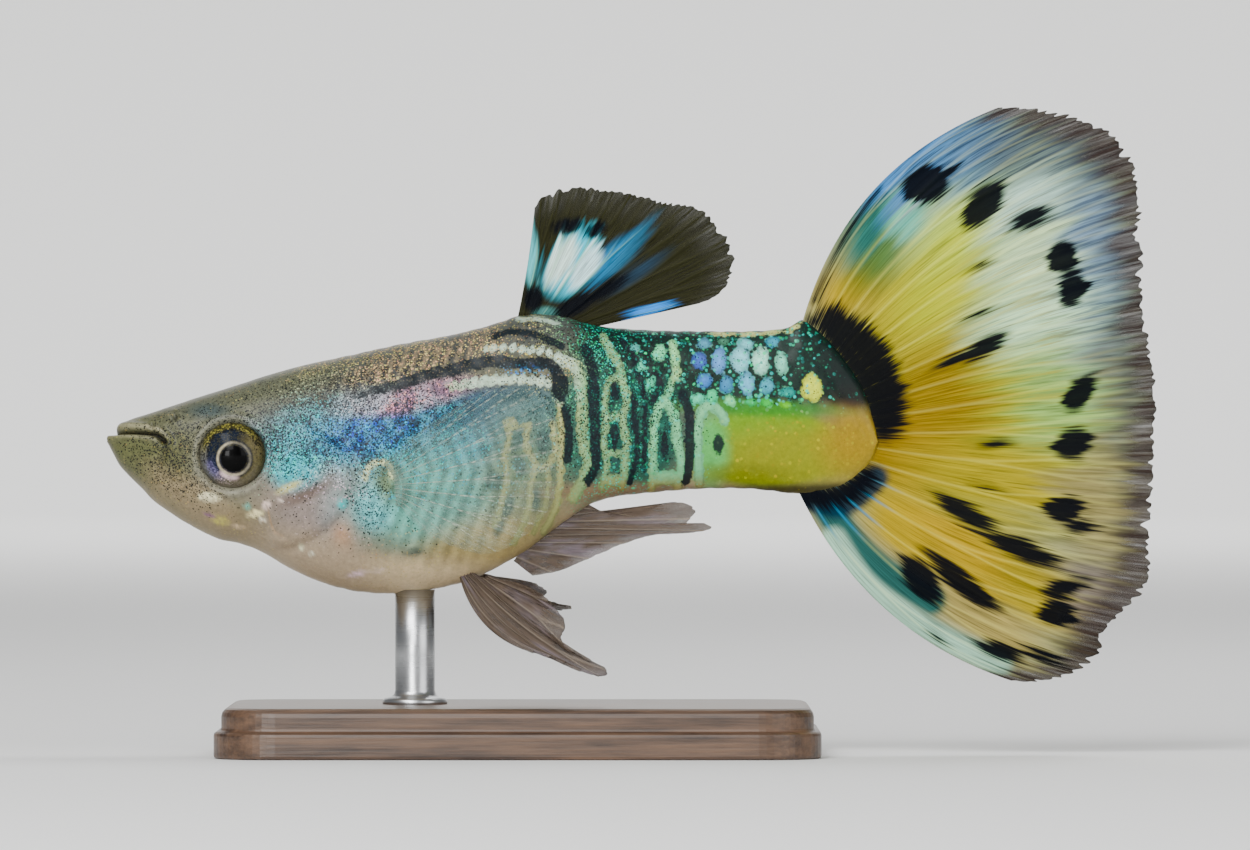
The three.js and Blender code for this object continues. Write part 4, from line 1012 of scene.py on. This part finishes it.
# A sheet between root and rim. Each ray splits in two at the given shares of its length.
# Returns the middle surface, the ray ridges and the finer ray lines from 0 to 1, and both parameters.
def finSheet(fin, sideways, inset=0.06, teeth=0.03, seed=1):
    u = (np.linspace(0, 1, fin["rows"]) * (1 + inset) - inset)[:, None]
    v = np.linspace(0, 1, fin["columns"])[None, :]
    rootX, rootZ = alongCurve(fin["root"], v)
    rimX, rimZ = alongCurve(fin["rim"], v)
    spacing = v * fin["rays"]
    w = np.abs(spacing - np.floor(spacing) - 0.5)
    first = 0.25 * ramp(u, fin["splits"][0], fin["splits"][0] + 0.5)
    second = 0.125 * ramp(u, fin["splits"][1], fin["splits"][1] + 0.45)
    off = np.abs(np.abs(w - first) - second)
    wide = 0.15 - 0.07 * ramp(u, 0.1, 0.8)
    ray = np.exp(-((off / wide) ** 2))
    line = np.exp(-((off / (0.07 - 0.035 * ramp(u, 0, 0.6))) ** 2))
    # the rim is frayed: hairs of uneven length, and a slow wave
    hairs = np.random.default_rng(seed).random(fin["rays"] * 14) ** 3
    fray = 1.4 * np.interp(v, np.linspace(0, 1, len(hairs)), hairs)
    wave = np.abs(softNoise(v * 26, 0 * v, 1.0, seed + 50))
    notch = 1 - teeth * (0.3 * (1 - ray[-1:]) + fray + 1.2 * wave)
    t = np.where(u > 0, u * (1 - (1 - notch) * ramp(u, 0.6, 1)), u)
    bow = fin["bow"][0] + (fin["bow"][1] - fin["bow"][0]) * v
    midX = (rootX + rimX) / 2 + (rimZ - rootZ) * bow
    midZ = (rootZ + rimZ) / 2 - (rimX - rootX) * bow
    x = (1 - t) ** 2 * rootX + 2 * t * (1 - t) * midX + t * t * rimX
    z = (1 - t) ** 2 * rootZ + 2 * t * (1 - t) * midZ + t * t * rimZ
    y = sideways(x, z, t) + 0 * x
    return np.stack([x, y, z], axis=-1), ray, line, u + 0 * v, v + 0 * u


# Both faces of a sheet, half a thickness to each side, closed round the edge.
def closedFin(name, middle, half, material, node):
    along = np.gradient(middle, axis=0)
    across = np.gradient(middle, axis=1)
    n = np.cross(along, across)
    n /= np.maximum(np.linalg.norm(n, axis=-1, keepdims=True), 1e-9)
    n = np.where(n[..., 1:2].mean() > 0, -n, n)
    near = middle + n * half[..., None]
    away = middle - n * half[..., None]
    rows, columns = half.shape
    grid = np.arange(rows * columns).reshape(rows, columns)
    shift = rows * columns
    a, b, c, d = grid[:-1, :-1], grid[:-1, 1:], grid[1:, 1:], grid[1:, :-1]
    front = np.stack([a, b, c, d], axis=-1).reshape(-1, 4)
    back = np.stack([a, d, c, b], axis=-1).reshape(-1, 4) + shift
    loop = np.concatenate([grid[0], grid[1:, -1], grid[-1, -2::-1], grid[-2:0:-1, 0]])
    nextOne = np.roll(loop, -1)
    edge = np.stack([loop, loop + shift, nextOne + shift, nextOne], axis=-1)
    points = np.concatenate([near.reshape(-1, 3), away.reshape(-1, 3)])
    test = np.cross(near[1, 0] - near[0, 0], near[0, 1] - near[0, 0])
    faces = np.concatenate([front, back, edge])
    if np.dot(test, n[0, 0]) > 0:
        faces = faces[:, ::-1]
    return addMesh(name, points, faces.tolist(), material, node)


# Gives both faces of a fin the same map, colours and numbers.
def dressFin(piece, u, v, line, colours, **numbers):
    twice = lambda values: np.concatenate([values, values], axis=0)
    giveUv(piece, twice(u), twice(v))
    for key, values in colours.items():
        giveColours(piece, key, twice(values))
    giveNumbers(piece, "ray", twice(line))
    for key, values in numbers.items():
        giveNumbers(piece, key, twice(values + 0 * line))


tail = {
    "wave": 0.45, "waveTurn": 0.42, "waveZ": 12.48,  # millimetres; radians in a millimetre; its level point
    "hub": (868, 430),  # the pixel that the rays spread from
    "colourReach": 30, "spotReach": 10,  # pixels by which colours and spots run out along the rays
    "spotEdge": 0.75, "rootEdge": 0.42,  # sharpness of the edges of spots and of the root's ink
}
tailSpots = {
    "upperFront": (926, 186, 25, 20, 30), "upperFrontTip": (946, 176, 16, 8, 30),
    "upperBack": (984, 204, 30, 16, 48), "upperFar": (1030, 218, 24, 9, 22), "paleDash": (982, 264, 13, 4, 25),
    "barTop": (1066, 256, 18, 16, 90), "barLow": (1074, 288, 15, 17, 0), "middle": (989, 343, 26, 9, 30),
    "middleTail": (958, 358, 20, 3.4, 24), "faintDash": (980, 313, 12, 3, 20),
    "rightUpper": (1080, 396, 20, 14, 70), "rightUpperTip": (1088, 380, 10, 6, 30),
    "rightMiddle": (1076, 445, 20, 16, 0), "dash": (1001, 443, 18, 4.6, 0), "smallDash": (985, 487, 13, 2.6, -12),
    "rightLow": (1066, 509, 19, 13, 0), "rightLowTwo": (1080, 527, 18, 8, 0), "longOne": (966, 514, 40, 10, -30),
    "longTwo": (1017, 547, 40, 9, -22), "lowOne": (921, 578, 28, 14, -50), "lowTwo": (961, 582, 48, 12, -42),
    "edgeOne": (1068, 589, 22, 9, 10), "edgeTwo": (1055, 612, 20, 14, -15), "bottom": (1002, 652, 26, 10, -22),
    "bottomTwo": (1040, 654, 22, 6, -20), "notchDark": (938, 639, 12, 4, -40),
}
tailRootInk = {
    "rootPatch": ([(832, 324), (858, 340), (879, 366), (887, 396), (886, 420)], 19),
    "rootInner": ([(838, 338), (862, 372), (878, 410), (884, 426)], 15),
    "rootTop": ([(812, 322), (830, 320), (850, 326)], 7),
    "topEdge": ([(815, 300), (832, 262), (852, 228), (870, 203), (880, 192)], 2.6),
    "lowerRoot": ([(806, 497), (840, 494), (866, 478)], 12),
}
# Broad tints: oval, softness, colour, strength.
tailZones = [
    ((1000, 300, 130, 190, 0), 0.5, (186, 212, 168), 1.0),
    ((1090, 300, 50, 150, 0), 0.6, (136, 160, 172), 0.85),
    ((960, 420, 120, 90, 0), 0.6, (166, 176, 78), 0.95),
    ((930, 400, 62, 84, 0), 0.7, (132, 114, 5), 1.0),
    ((905, 455, 50, 34, 0), 0.6, (132, 106, 4), 1.0),
    ((900, 310, 70, 46, 42), 0.7, (170, 160, 22), 0.95),
    ((850, 290, 36, 24, 30), 0.7, (180, 158, 12), 1.0),
    ((878, 250, 26, 46, -30), 0.8, (62, 98, 58), 0.85),
    ((868, 222, 16, 40, -36), 0.7, (40, 100, 96), 0.9),
    ((908, 214, 22, 16, 30), 0.7, (126, 190, 176), 0.9),
    ((905, 165, 22, 60, -50), 0.5, (92, 140, 196), 0.9),
    ((965, 150, 60, 30, 30), 0.6, (98, 134, 172), 0.9),
    ((1040, 140, 70, 36, 10), 0.6, (74, 82, 94), 0.85),
    ((960, 230, 50, 28, 40), 0.7, (200, 212, 106), 0.85),
    ((942, 292, 48, 36, 40), 0.8, (184, 190, 46), 0.9),
    ((1040, 190, 60, 26, 30), 0.6, (190, 216, 206), 0.9),
    ((1034, 262, 46, 30, 25), 0.6, (216, 238, 200), 0.85),
    ((1032, 324, 60, 28, 10), 0.7, (212, 242, 208), 0.9),
    ((1100, 230, 30, 60, 0), 0.6, (120, 138, 158), 0.8),
    ((1110, 400, 26, 80, 0), 0.6, (96, 98, 88), 0.85),
    ((1050, 420, 40, 70, 0), 0.7, (152, 182, 124), 0.85),
    ((1000, 480, 100, 40, -8), 0.7, (164, 152, 40), 0.95),
    ((1090, 500, 36, 60, 0), 0.6, (144, 136, 104), 0.8),
    ((1000, 575, 90, 40, -30), 0.6, (176, 160, 66), 0.95),
    ((905, 525, 48, 32, -45), 0.6, (174, 154, 8), 1.0),
    ((960, 545, 50, 20, -38), 0.6, (180, 156, 24), 0.9),
    ((985, 620, 60, 26, -30), 0.6, (168, 156, 112), 0.95),
    ((1100, 600, 40, 40, 0), 0.6, (112, 104, 102), 0.85),
    ((1090, 158, 44, 20, 20), 0.8, (50, 46, 50), 0.75),
    ((1124, 556, 14, 24, 0), 0.8, (62, 52, 52), 0.6),
]
tailBands = [
    ([(830, 512), (850, 540), (884, 572), (930, 600)], 15, (26, 84, 82), 0.95),
    ([(834, 540), (862, 582), (900, 612), (948, 640), (1000, 664)], 12, (176, 208, 188), 1.0),
    ([(812, 500), (840, 506), (862, 492), (876, 478)], 12, (16, 46, 62), 0.95),
]


# Colours are read a little nearer or farther along each ray, so that they run into one another as streaks.
def buildCaudal():
    wave = lambda z: tail["wave"] * np.sin((z - tail["waveZ"]) * tail["waveTurn"])
    plane = lambda x, z, t: wave(z) * np.maximum(t, 0) ** 1.3
    middle, ray, line, u, v = finSheet(caudalFin, plane, teeth=0.02, seed=3)
    px, py = toPixels(middle[..., 0], middle[..., 2])
    ax, ay = px - tail["hub"][0], py - tail["hub"][1]
    long = np.maximum(np.hypot(ax, ay), 1)
    uneven = softNoise(v * 75, 0 * v, 1.0, 41)
    reach = tail["colourReach"] * uneven * ramp(u, 0.1, 0.4) / long
    cx, cy = px + reach * ax, py + reach * ay
    colour = layZones(evenColour(px, 160, 160, 130), cx, cy, tailZones)
    for band, halfWide, shade, share in tailBands:
        colour = layColour(colour, share * ramp(bandField(px, py, band, halfWide), -6, 5), tint(*shade))
    outer = ramp(u + 0.06 * softNoise(u * 4, v * 120, 1.0, 47), 0.84, 0.97)
    colour = layColour(colour, 0.94 * outer, tint(54, 46, 42))
    hairTint = colour * 0.4
    pale = softSpot(px, py, (1000, 330, 100, 150, 0), 0.5)
    hairTint = layColour(hairTint, 0.6 * pale * (1 - outer), tint(164, 150, 30))
    hairTint = layColour(hairTint, softSpot(px, py, (980, 150, 130, 50, 10), 0.5), tint(28, 34, 50))
    hairTint = layColour(hairTint, softSpot(px, py, (1090, 250, 46, 110, 0), 0.5), tint(58, 66, 80))
    hairTint = layColour(hairTint, outer, tint(40, 33, 32))
    reach = tail["spotReach"] * softNoise(v * 60, 0 * v, 1.0, 67) / long
    sx, sy = px + reach * ax, py + reach * ay
    # a field that falls off slowly gives a feathered edge
    rootInk = markField(px, py, tailRootInk, {}, tail["rootEdge"])
    ink = np.maximum(markField(sx, sy, {}, tailSpots, tail["spotEdge"]), rootInk)
    ridge = 0.012 + 0.045 * ray * ramp(u, 0.12, 0.4) * (1 - ramp(u, 0.55, 1.0) * 0.6)
    half = (0.045 + ridge) * (1 - 0.55 * ramp(u, 0.5, 1)) + 0.12 * (1 - ramp(u, -0.02, 0.12))
    rayTint = layColour(colour * 1.4, 0.3 * (1 - outer), tint(206, 206, 140))
    rayTint = layColour(rayTint, softSpot(px, py, (850, 506, 44, 30, 30), 0.5), tint(70, 130, 160))
    membrane = finMaterial("tailMembrane", 230.0, 4.0)
    piece = closedFin("tailFin", middle, half, membrane, ["caudal_fin"])
    colours = {"finTint": colour, "hairTint": hairTint, "rayTint": rayTint}
    dressFin(piece, u, v, line, colours, inkField=ink, cover=0.99 - 0.2 * outer,
             coverStreak=0.1 + 1.6 * outer, hair=0.35 + 0.45 * ramp(u, 0.3, 0.7),
             rayShow=0.75 - 0.35 * ramp(u, 0.5, 1), rayCover=0.9 - 0.3 * outer)
    return piece


dorsal = {"hub": (556, 336), "colourReach": 16}  # pixels
dorsalZones = [
    ((606, 262, 30, 10, 45), 0.7, (70, 128, 170), 0.85),
    ((628, 250, 30, 7, 48), 0.8, (66, 112, 140), 0.75),
    ((638, 272, 30, 6, 34), 0.8, (44, 62, 78), 0.8),
    ((571, 264, 36, 23, 54), 0.3, (110, 196, 214), 1.0),
    ((561, 264, 26, 12, 66), 0.35, (232, 254, 246), 1.0),
    ((586, 266, 24, 11, 54), 0.35, (224, 252, 254), 1.0),
    ((530, 254, 7, 28, 0), 0.5, (130, 200, 204), 0.95),
    ((646, 311, 22, 5, 12), 0.5, (90, 150, 226), 1.0),
    ((546, 313, 12, 6, 0), 0.5, (96, 140, 136), 0.8),
]
dorsalInk = {
    "rootOne": (533, 299, 9, 13, 0), "rootTwo": (575, 306, 24, 9, 26), "gap": (606, 290, 26, 7, 34),
    "overPatch": (568, 226, 15, 8, 10), "overPatchBack": (596, 230, 12, 7, 20),
}


# Sheet bowed to one side by the square of the way out, with colours drawn along its rays.
def buildDorsal():
    plane = lambda x, z, t: -0.25 * np.maximum(t, 0) ** 2
    middle, ray, line, u, v = finSheet(dorsalFin, plane, teeth=0.022, seed=5)
    px, py = toPixels(middle[..., 0], middle[..., 2])
    ax, ay = px - dorsal["hub"][0], py - dorsal["hub"][1]
    reach = dorsal["colourReach"] * softNoise(v * 50, 0 * v, 1.0, 71) * ramp(u, 0.05, 0.3) / np.hypot(ax, ay)
    cx, cy = px + reach * ax, py + reach * ay
    colour = layZones(evenColour(px, 40, 40, 28), cx, cy, dorsalZones)
    ink = markField(px, py, {}, dorsalInk)
    half = (0.05 + 0.045 * ray) * (1 - 0.55 * ramp(u, 0.5, 1)) + 0.1 * (1 - ramp(u, -0.02, 0.15))
    bright = ramp(colour.mean(axis=-1), 0.05, 0.2)
    rayTint = layColour(colour * 1.5, 0.8 * bright, tint(150, 190, 160))
    piece = closedFin("dorsalFin", middle, half, finMaterial("dorsalMembrane", 120.0, 4.0, 0.95), ["dorsal_fin"])
    colours = {"finTint": colour, "hairTint": colour * 0.75, "rayTint": rayTint}
    dressFin(piece, u, v, line, colours, inkField=ink, cover=0.97 - 0.14 * ramp(u, 0.7, 1), hair=0.5,
             coverStreak=0.3 + 0.9 * ramp(u, 0.8, 1), rayShow=0.7, rayCover=0.9)
    return piece


pectoral = {"start": 2.15, "spread": 2.5, "bend": 0.24}


# Sheet that swings out from the flank and levels off, with dotted rays.
def buildPectoral(side, name, node):
    opened = lambda t: 1 - np.exp(-np.maximum(t + 0.05, 0) / pectoral["bend"])
    plane = lambda x, z, t: side * (pectoral["start"] + pectoral["spread"] * opened(t))
    middle, ray, line, u, v = finSheet(pectoralFin, plane, inset=0.05, teeth=0.012, seed=9)
    colour = evenColour(u, 150, 170, 160)
    smoke = ramp(v + 0.05 * np.sin(u * 9), 0.02, 0.1) * (1 - ramp(v, 0.22, 0.42)) * ramp(u, 0.3, 0.6)
    colour = layColour(colour, 0.8 * smoke, tint(60, 78, 92))
    half = 0.02 + 0.04 * ray * (1 - 0.6 * u) + 0.1 * (1 - ramp(u, -0.02, 0.1))
    dots = 0.5 + 0.5 * np.sin(u * 110 + 6 * softNoise(u * 8, v * 24, 1.0, 7))
    rayTint = evenColour(u, 206, 212, 196)
    rayTint = layColour(rayTint, 0.9 * ramp(dots, 0.55, 0.8) * ramp(u, 0.12, 0.3), tint(14, 18, 20))
    piece = closedFin(name, middle, half, finMaterial(name + "Membrane", 60.0, 3.0), [node])
    rootCover = 0.5 * (1 - ramp(u, 0.0, 0.08))
    dressFin(piece, u, v, line, {"finTint": colour, "hairTint": colour * 0.8, "rayTint": rayTint}, inkField=-99,
             cover=(0.13 + 0.35 * smoke) * (1 - 0.6 * ramp(u, 0.8, 1)) + rootCover, coverStreak=0.35, hair=0.3,
             rayShow=0.9, rayCover=0.5 - 0.3 * ramp(u, 0.4, 1))
    return piece


# Plain smoky sheet for the pelvic and anal fins; place moves its points when it is given.
def buildLowerFin(name, node, fin, plane, seed, place=None):
    middle, ray, line, u, v = finSheet(fin, plane, inset=0.08, teeth=0.02, seed=seed)
    if place is not None:
        middle = place(middle)
    colour = evenColour(u, 96, 86, 78)
    colour = layColour(colour, 0.6 * ramp(softNoise(u * 3, v * 9, 1.0, seed), 0.0, 0.7), tint(136, 128, 136))
    half = (0.05 + 0.07 * ray) * (1 - 0.4 * ramp(u, 0.5, 1)) + 0.06 * (1 - ramp(u, -0.02, 0.15))
    rayTint = evenColour(u, 160, 150, 138)
    piece = closedFin(name, middle, half, finMaterial(name + "Membrane", 40.0, 4.0), [node])
    dressFin(piece, u, v, line, {"finTint": colour, "hairTint": colour * 0.6, "rayTint": rayTint}, inkField=-99,
             cover=0.88 - 0.2 * ramp(u, 0.6, 1), coverStreak=0.8, hair=0.5, rayShow=0.6, rayCover=0.92)
    return piece


pelvic = {"rootMiddle": (-6.36, 7.0), "halfSpan": 0.75, "splay": 0.9, "farTurn": (70, 20)}


# The far pelvic fin: turned out about its root, first about x and then about z.
def turnFarPelvic(points):
    a, b = np.radians(pelvic["farTurn"])
    x = points[..., 0] - pelvic["rootMiddle"][0]
    y = points[..., 1]
    z = points[..., 2] - pelvic["rootMiddle"][1]
    y, z = y * np.cos(a) - z * np.sin(a), y * np.sin(a) + z * np.cos(a)
    x, y = x * np.cos(b) - y * np.sin(b), x * np.sin(b) + y * np.cos(b)
    return np.stack([x + pelvic["rootMiddle"][0], y + pelvic["halfSpan"], z + pelvic["rootMiddle"][1]], axis=-1)


stand = {"centreX": -4.6, "length": 24, "depth": 16, "corner": 2.5, "rodX": -8.76, "rodRadius": 0.8}


# A moulded edge profile carried round a rectangle with rounded corners.
def buildBase():
    profile = np.array([
        (1.2, 0.0), (0.12, 0.0), (0.02, 0.05), (0.0, 0.14), (0.0, 0.9), (0.02, 1.0), (0.1, 1.06), (0.2, 1.08),
        (0.27, 1.12), (0.3, 1.2), (0.3, 1.66), (0.34, 1.82), (0.44, 1.94), (0.6, 2.0), (1.2, 2.0),
    ])
    bends = 14
    path = []
    quarter = np.linspace(0, np.pi / 2, bends)
    for k, (sx, sy) in enumerate([(1, 1), (-1, 1), (-1, -1), (1, -1)]):
        turn = quarter + k * np.pi / 2
        path.append(np.stack([0 * turn + sx, 0 * turn + sy, np.cos(turn), np.sin(turn)], axis=-1))
    path = np.concatenate(path)
    inset = profile[:, 0][:, None]
    radius = stand["corner"] - inset
    x = stand["centreX"] + path[:, 0] * (stand["length"] / 2 - stand["corner"]) + radius * path[:, 2]
    y = path[:, 1] * (stand["depth"] / 2 - stand["corner"]) + radius * path[:, 3]
    z = profile[:, 1][:, None] + 0 * x
    points = np.stack([x, y, z], axis=-1)
    grid = np.arange(x.size).reshape(x.shape)
    faces = ringFaces(grid) + [grid[-1].tolist(), grid[0][::-1].tolist()]
    piece = addMesh("standBase", points.reshape(-1, 3), faces, woodMaterial(), ["stand_base"])
    piece.data.polygons.foreach_set("use_smooth", [False] * len(piece.data.polygons))
    return piece


# A turned rod with a low collar, and a top that is let into the belly.
def buildRod():
    r = stand["rodRadius"]
    belly = float(onCurve(body["bellyLine"], stand["rodX"]))
    profile = np.array([
        (0.0, 1.2), (r, 1.2), (r, 1.95), (r + 0.42, 1.95), (r + 0.5, 2.02), (r + 0.5, 2.14), (r + 0.42, 2.24),
        (r + 0.16, 2.3), (r + 0.04, 2.4), (r, 2.55), (r, 4.0), (r, belly + 0.1), (0.0, belly + 0.1),
    ])
    a = (np.arange(48) / 48 * 2 * np.pi)[None, :]
    x = stand["rodX"] + profile[:, 0][:, None] * np.cos(a)
    y = profile[:, 0][:, None] * np.sin(a)
    z = profile[:, 1][:, None] + 0 * a
    grid = np.arange(x.size).reshape(x.shape)
    faces = ringFaces(grid[1:-1]) + [grid[1][::-1].tolist(), grid[-2].tolist()]
    points = np.stack([x, y, z], axis=-1).reshape(-1, 3)
    return addMesh("standRod", points, faces, steelMaterial(), ["stand_rod"])


studio = {
    "floor": (0.8, 0.8, 0.79), "frameWidth": 50.0, "centre": (-0.36, 13.16), "lens": 300.0, "sensor": 36.0,
    "reach": 1.6, "flatTo": 1.1, "bend": 0.1, "wallTop": 1.4,  # the sweep in metres; no view stands behind it
}


# A floor that bends up into a far wall by a quarter circle, square lamps and an even room light.
def buildStudio():
    flatTo, bend = studio["flatTo"], studio["bend"]
    wall = np.array([(-studio["reach"], 0.0), (flatTo, 0.0)] + [
        (flatTo + bend * np.sin(t), bend - bend * np.cos(t)) for t in np.linspace(0.1, np.pi / 2, 16)
    ] + [(flatTo + bend, studio["wallTop"])])
    mesh = bpy.data.meshes.new("studioSweep")
    left, right = -studio["reach"], studio["reach"]
    points = [(left, y, z) for y, z in wall] + [(right, y, z) for y, z in wall]
    n = len(wall)
    mesh.from_pydata(points, [], [(i, i + n, i + n + 1, i + 1) for i in range(n - 1)])
    mesh.polygons.foreach_set("use_smooth", [True] * len(mesh.polygons))
    sweep = bpy.data.objects.new("studioSweep", mesh)
    bpy.context.scene.collection.objects.link(sweep)
    b = Bench("paleStudio")
    mesh.materials.append(b.finish(Base_Color=studio["floor"], Roughness=0.85, Specular_IOR_Level=0.2))
    lamps = [
        ("keyLamp", (-0.12, -0.22, 0.26), (0, 0, 0.012), 0.16, 0.95),
        ("fillLamp", (0.22, -0.2, 0.1), (0, 0, 0.012), 0.2, 0.35),
        ("backLamp", (0.1, 0.14, 0.24), (0, 0, 0.015), 0.14, 0.4),
        ("frontLamp", (-0.06, -0.3, 0.16), (0, 0, 0.012), 0.12, 0.4),
        ("lowLamp", (-0.08, -0.24, 0.036), (-0.005, 0, 0.01), 0.06, 0.24),
        ("wallLamp", (0, 0.75, 0.7), (0, 1.2, 0.15), 0.5, 9.0),
    ]
    for name, place, aim, size, power in lamps:
        light = bpy.data.lights.new(name, "AREA")
        light.size = size
        light.energy = power
        lamp = bpy.data.objects.new(name, light)
        lamp.location = place
        lamp.rotation_euler = (Vector(aim) - Vector(place)).to_track_quat("-Z", "Y").to_euler()
        bpy.context.scene.collection.objects.link(lamp)
    world = bpy.data.worlds.new("softRoom")
    bpy.context.scene.world = world
    world.use_nodes = True
    world.node_tree.nodes["Background"].inputs["Color"].default_value = (0.9, 0.92, 0.95, 1)
    world.node_tree.nodes["Background"].inputs["Strength"].default_value = 0.22


# Distance is the lens times the frame's width over the sensor's width, so the photo's frame is filled.
def buildCamera():
    view = bpy.data.cameras.new("camera")
    view.sensor_width = studio["sensor"]
    view.lens = studio["lens"]
    view.clip_start = 0.005
    view.clip_end = 5
    camera = bpy.data.objects.new("camera", view)
    away = studio["lens"] * studio["frameWidth"] / studio["sensor"]
    camera.location = (studio["centre"][0] * mm, -away * mm, studio["centre"][1] * mm)
    camera.rotation_euler = (np.pi / 2, 0, 0)
    bpy.context.scene.collection.objects.link(camera)
    bpy.context.scene.camera = camera


buildCamera()
buildStudio()
print("camera and studio ready")
buildSkin()
print("skin ready")
buildEye("eyeLeft", -1, "eye_left")
buildEye("eyeRight", 1, "eye_right")
print("eyes ready")
buildCaudal()
buildDorsal()
buildPectoral(-1, "pectoralFinLeft", "pectoral_fin_left")
buildPectoral(1, "pectoralFinRight", "pectoral_fin_right")
nearPelvicPlane = lambda x, z, t: -(pelvic["halfSpan"] + pelvic["splay"] * np.maximum(t, 0))
buildLowerFin("pelvicFinLeft", "pelvic_fin_left", pelvicFin, nearPelvicPlane, 21)
buildLowerFin("pelvicFinRight", "pelvic_fin_right", pelvicFin, lambda x, z, t: 0 * t, 22, turnFarPelvic)
buildLowerFin("analFin", "anal_fin", analFin, lambda x, z, t: 0 * t, 23)
print("fins ready")
buildBase()
buildRod()
print("stand ready")

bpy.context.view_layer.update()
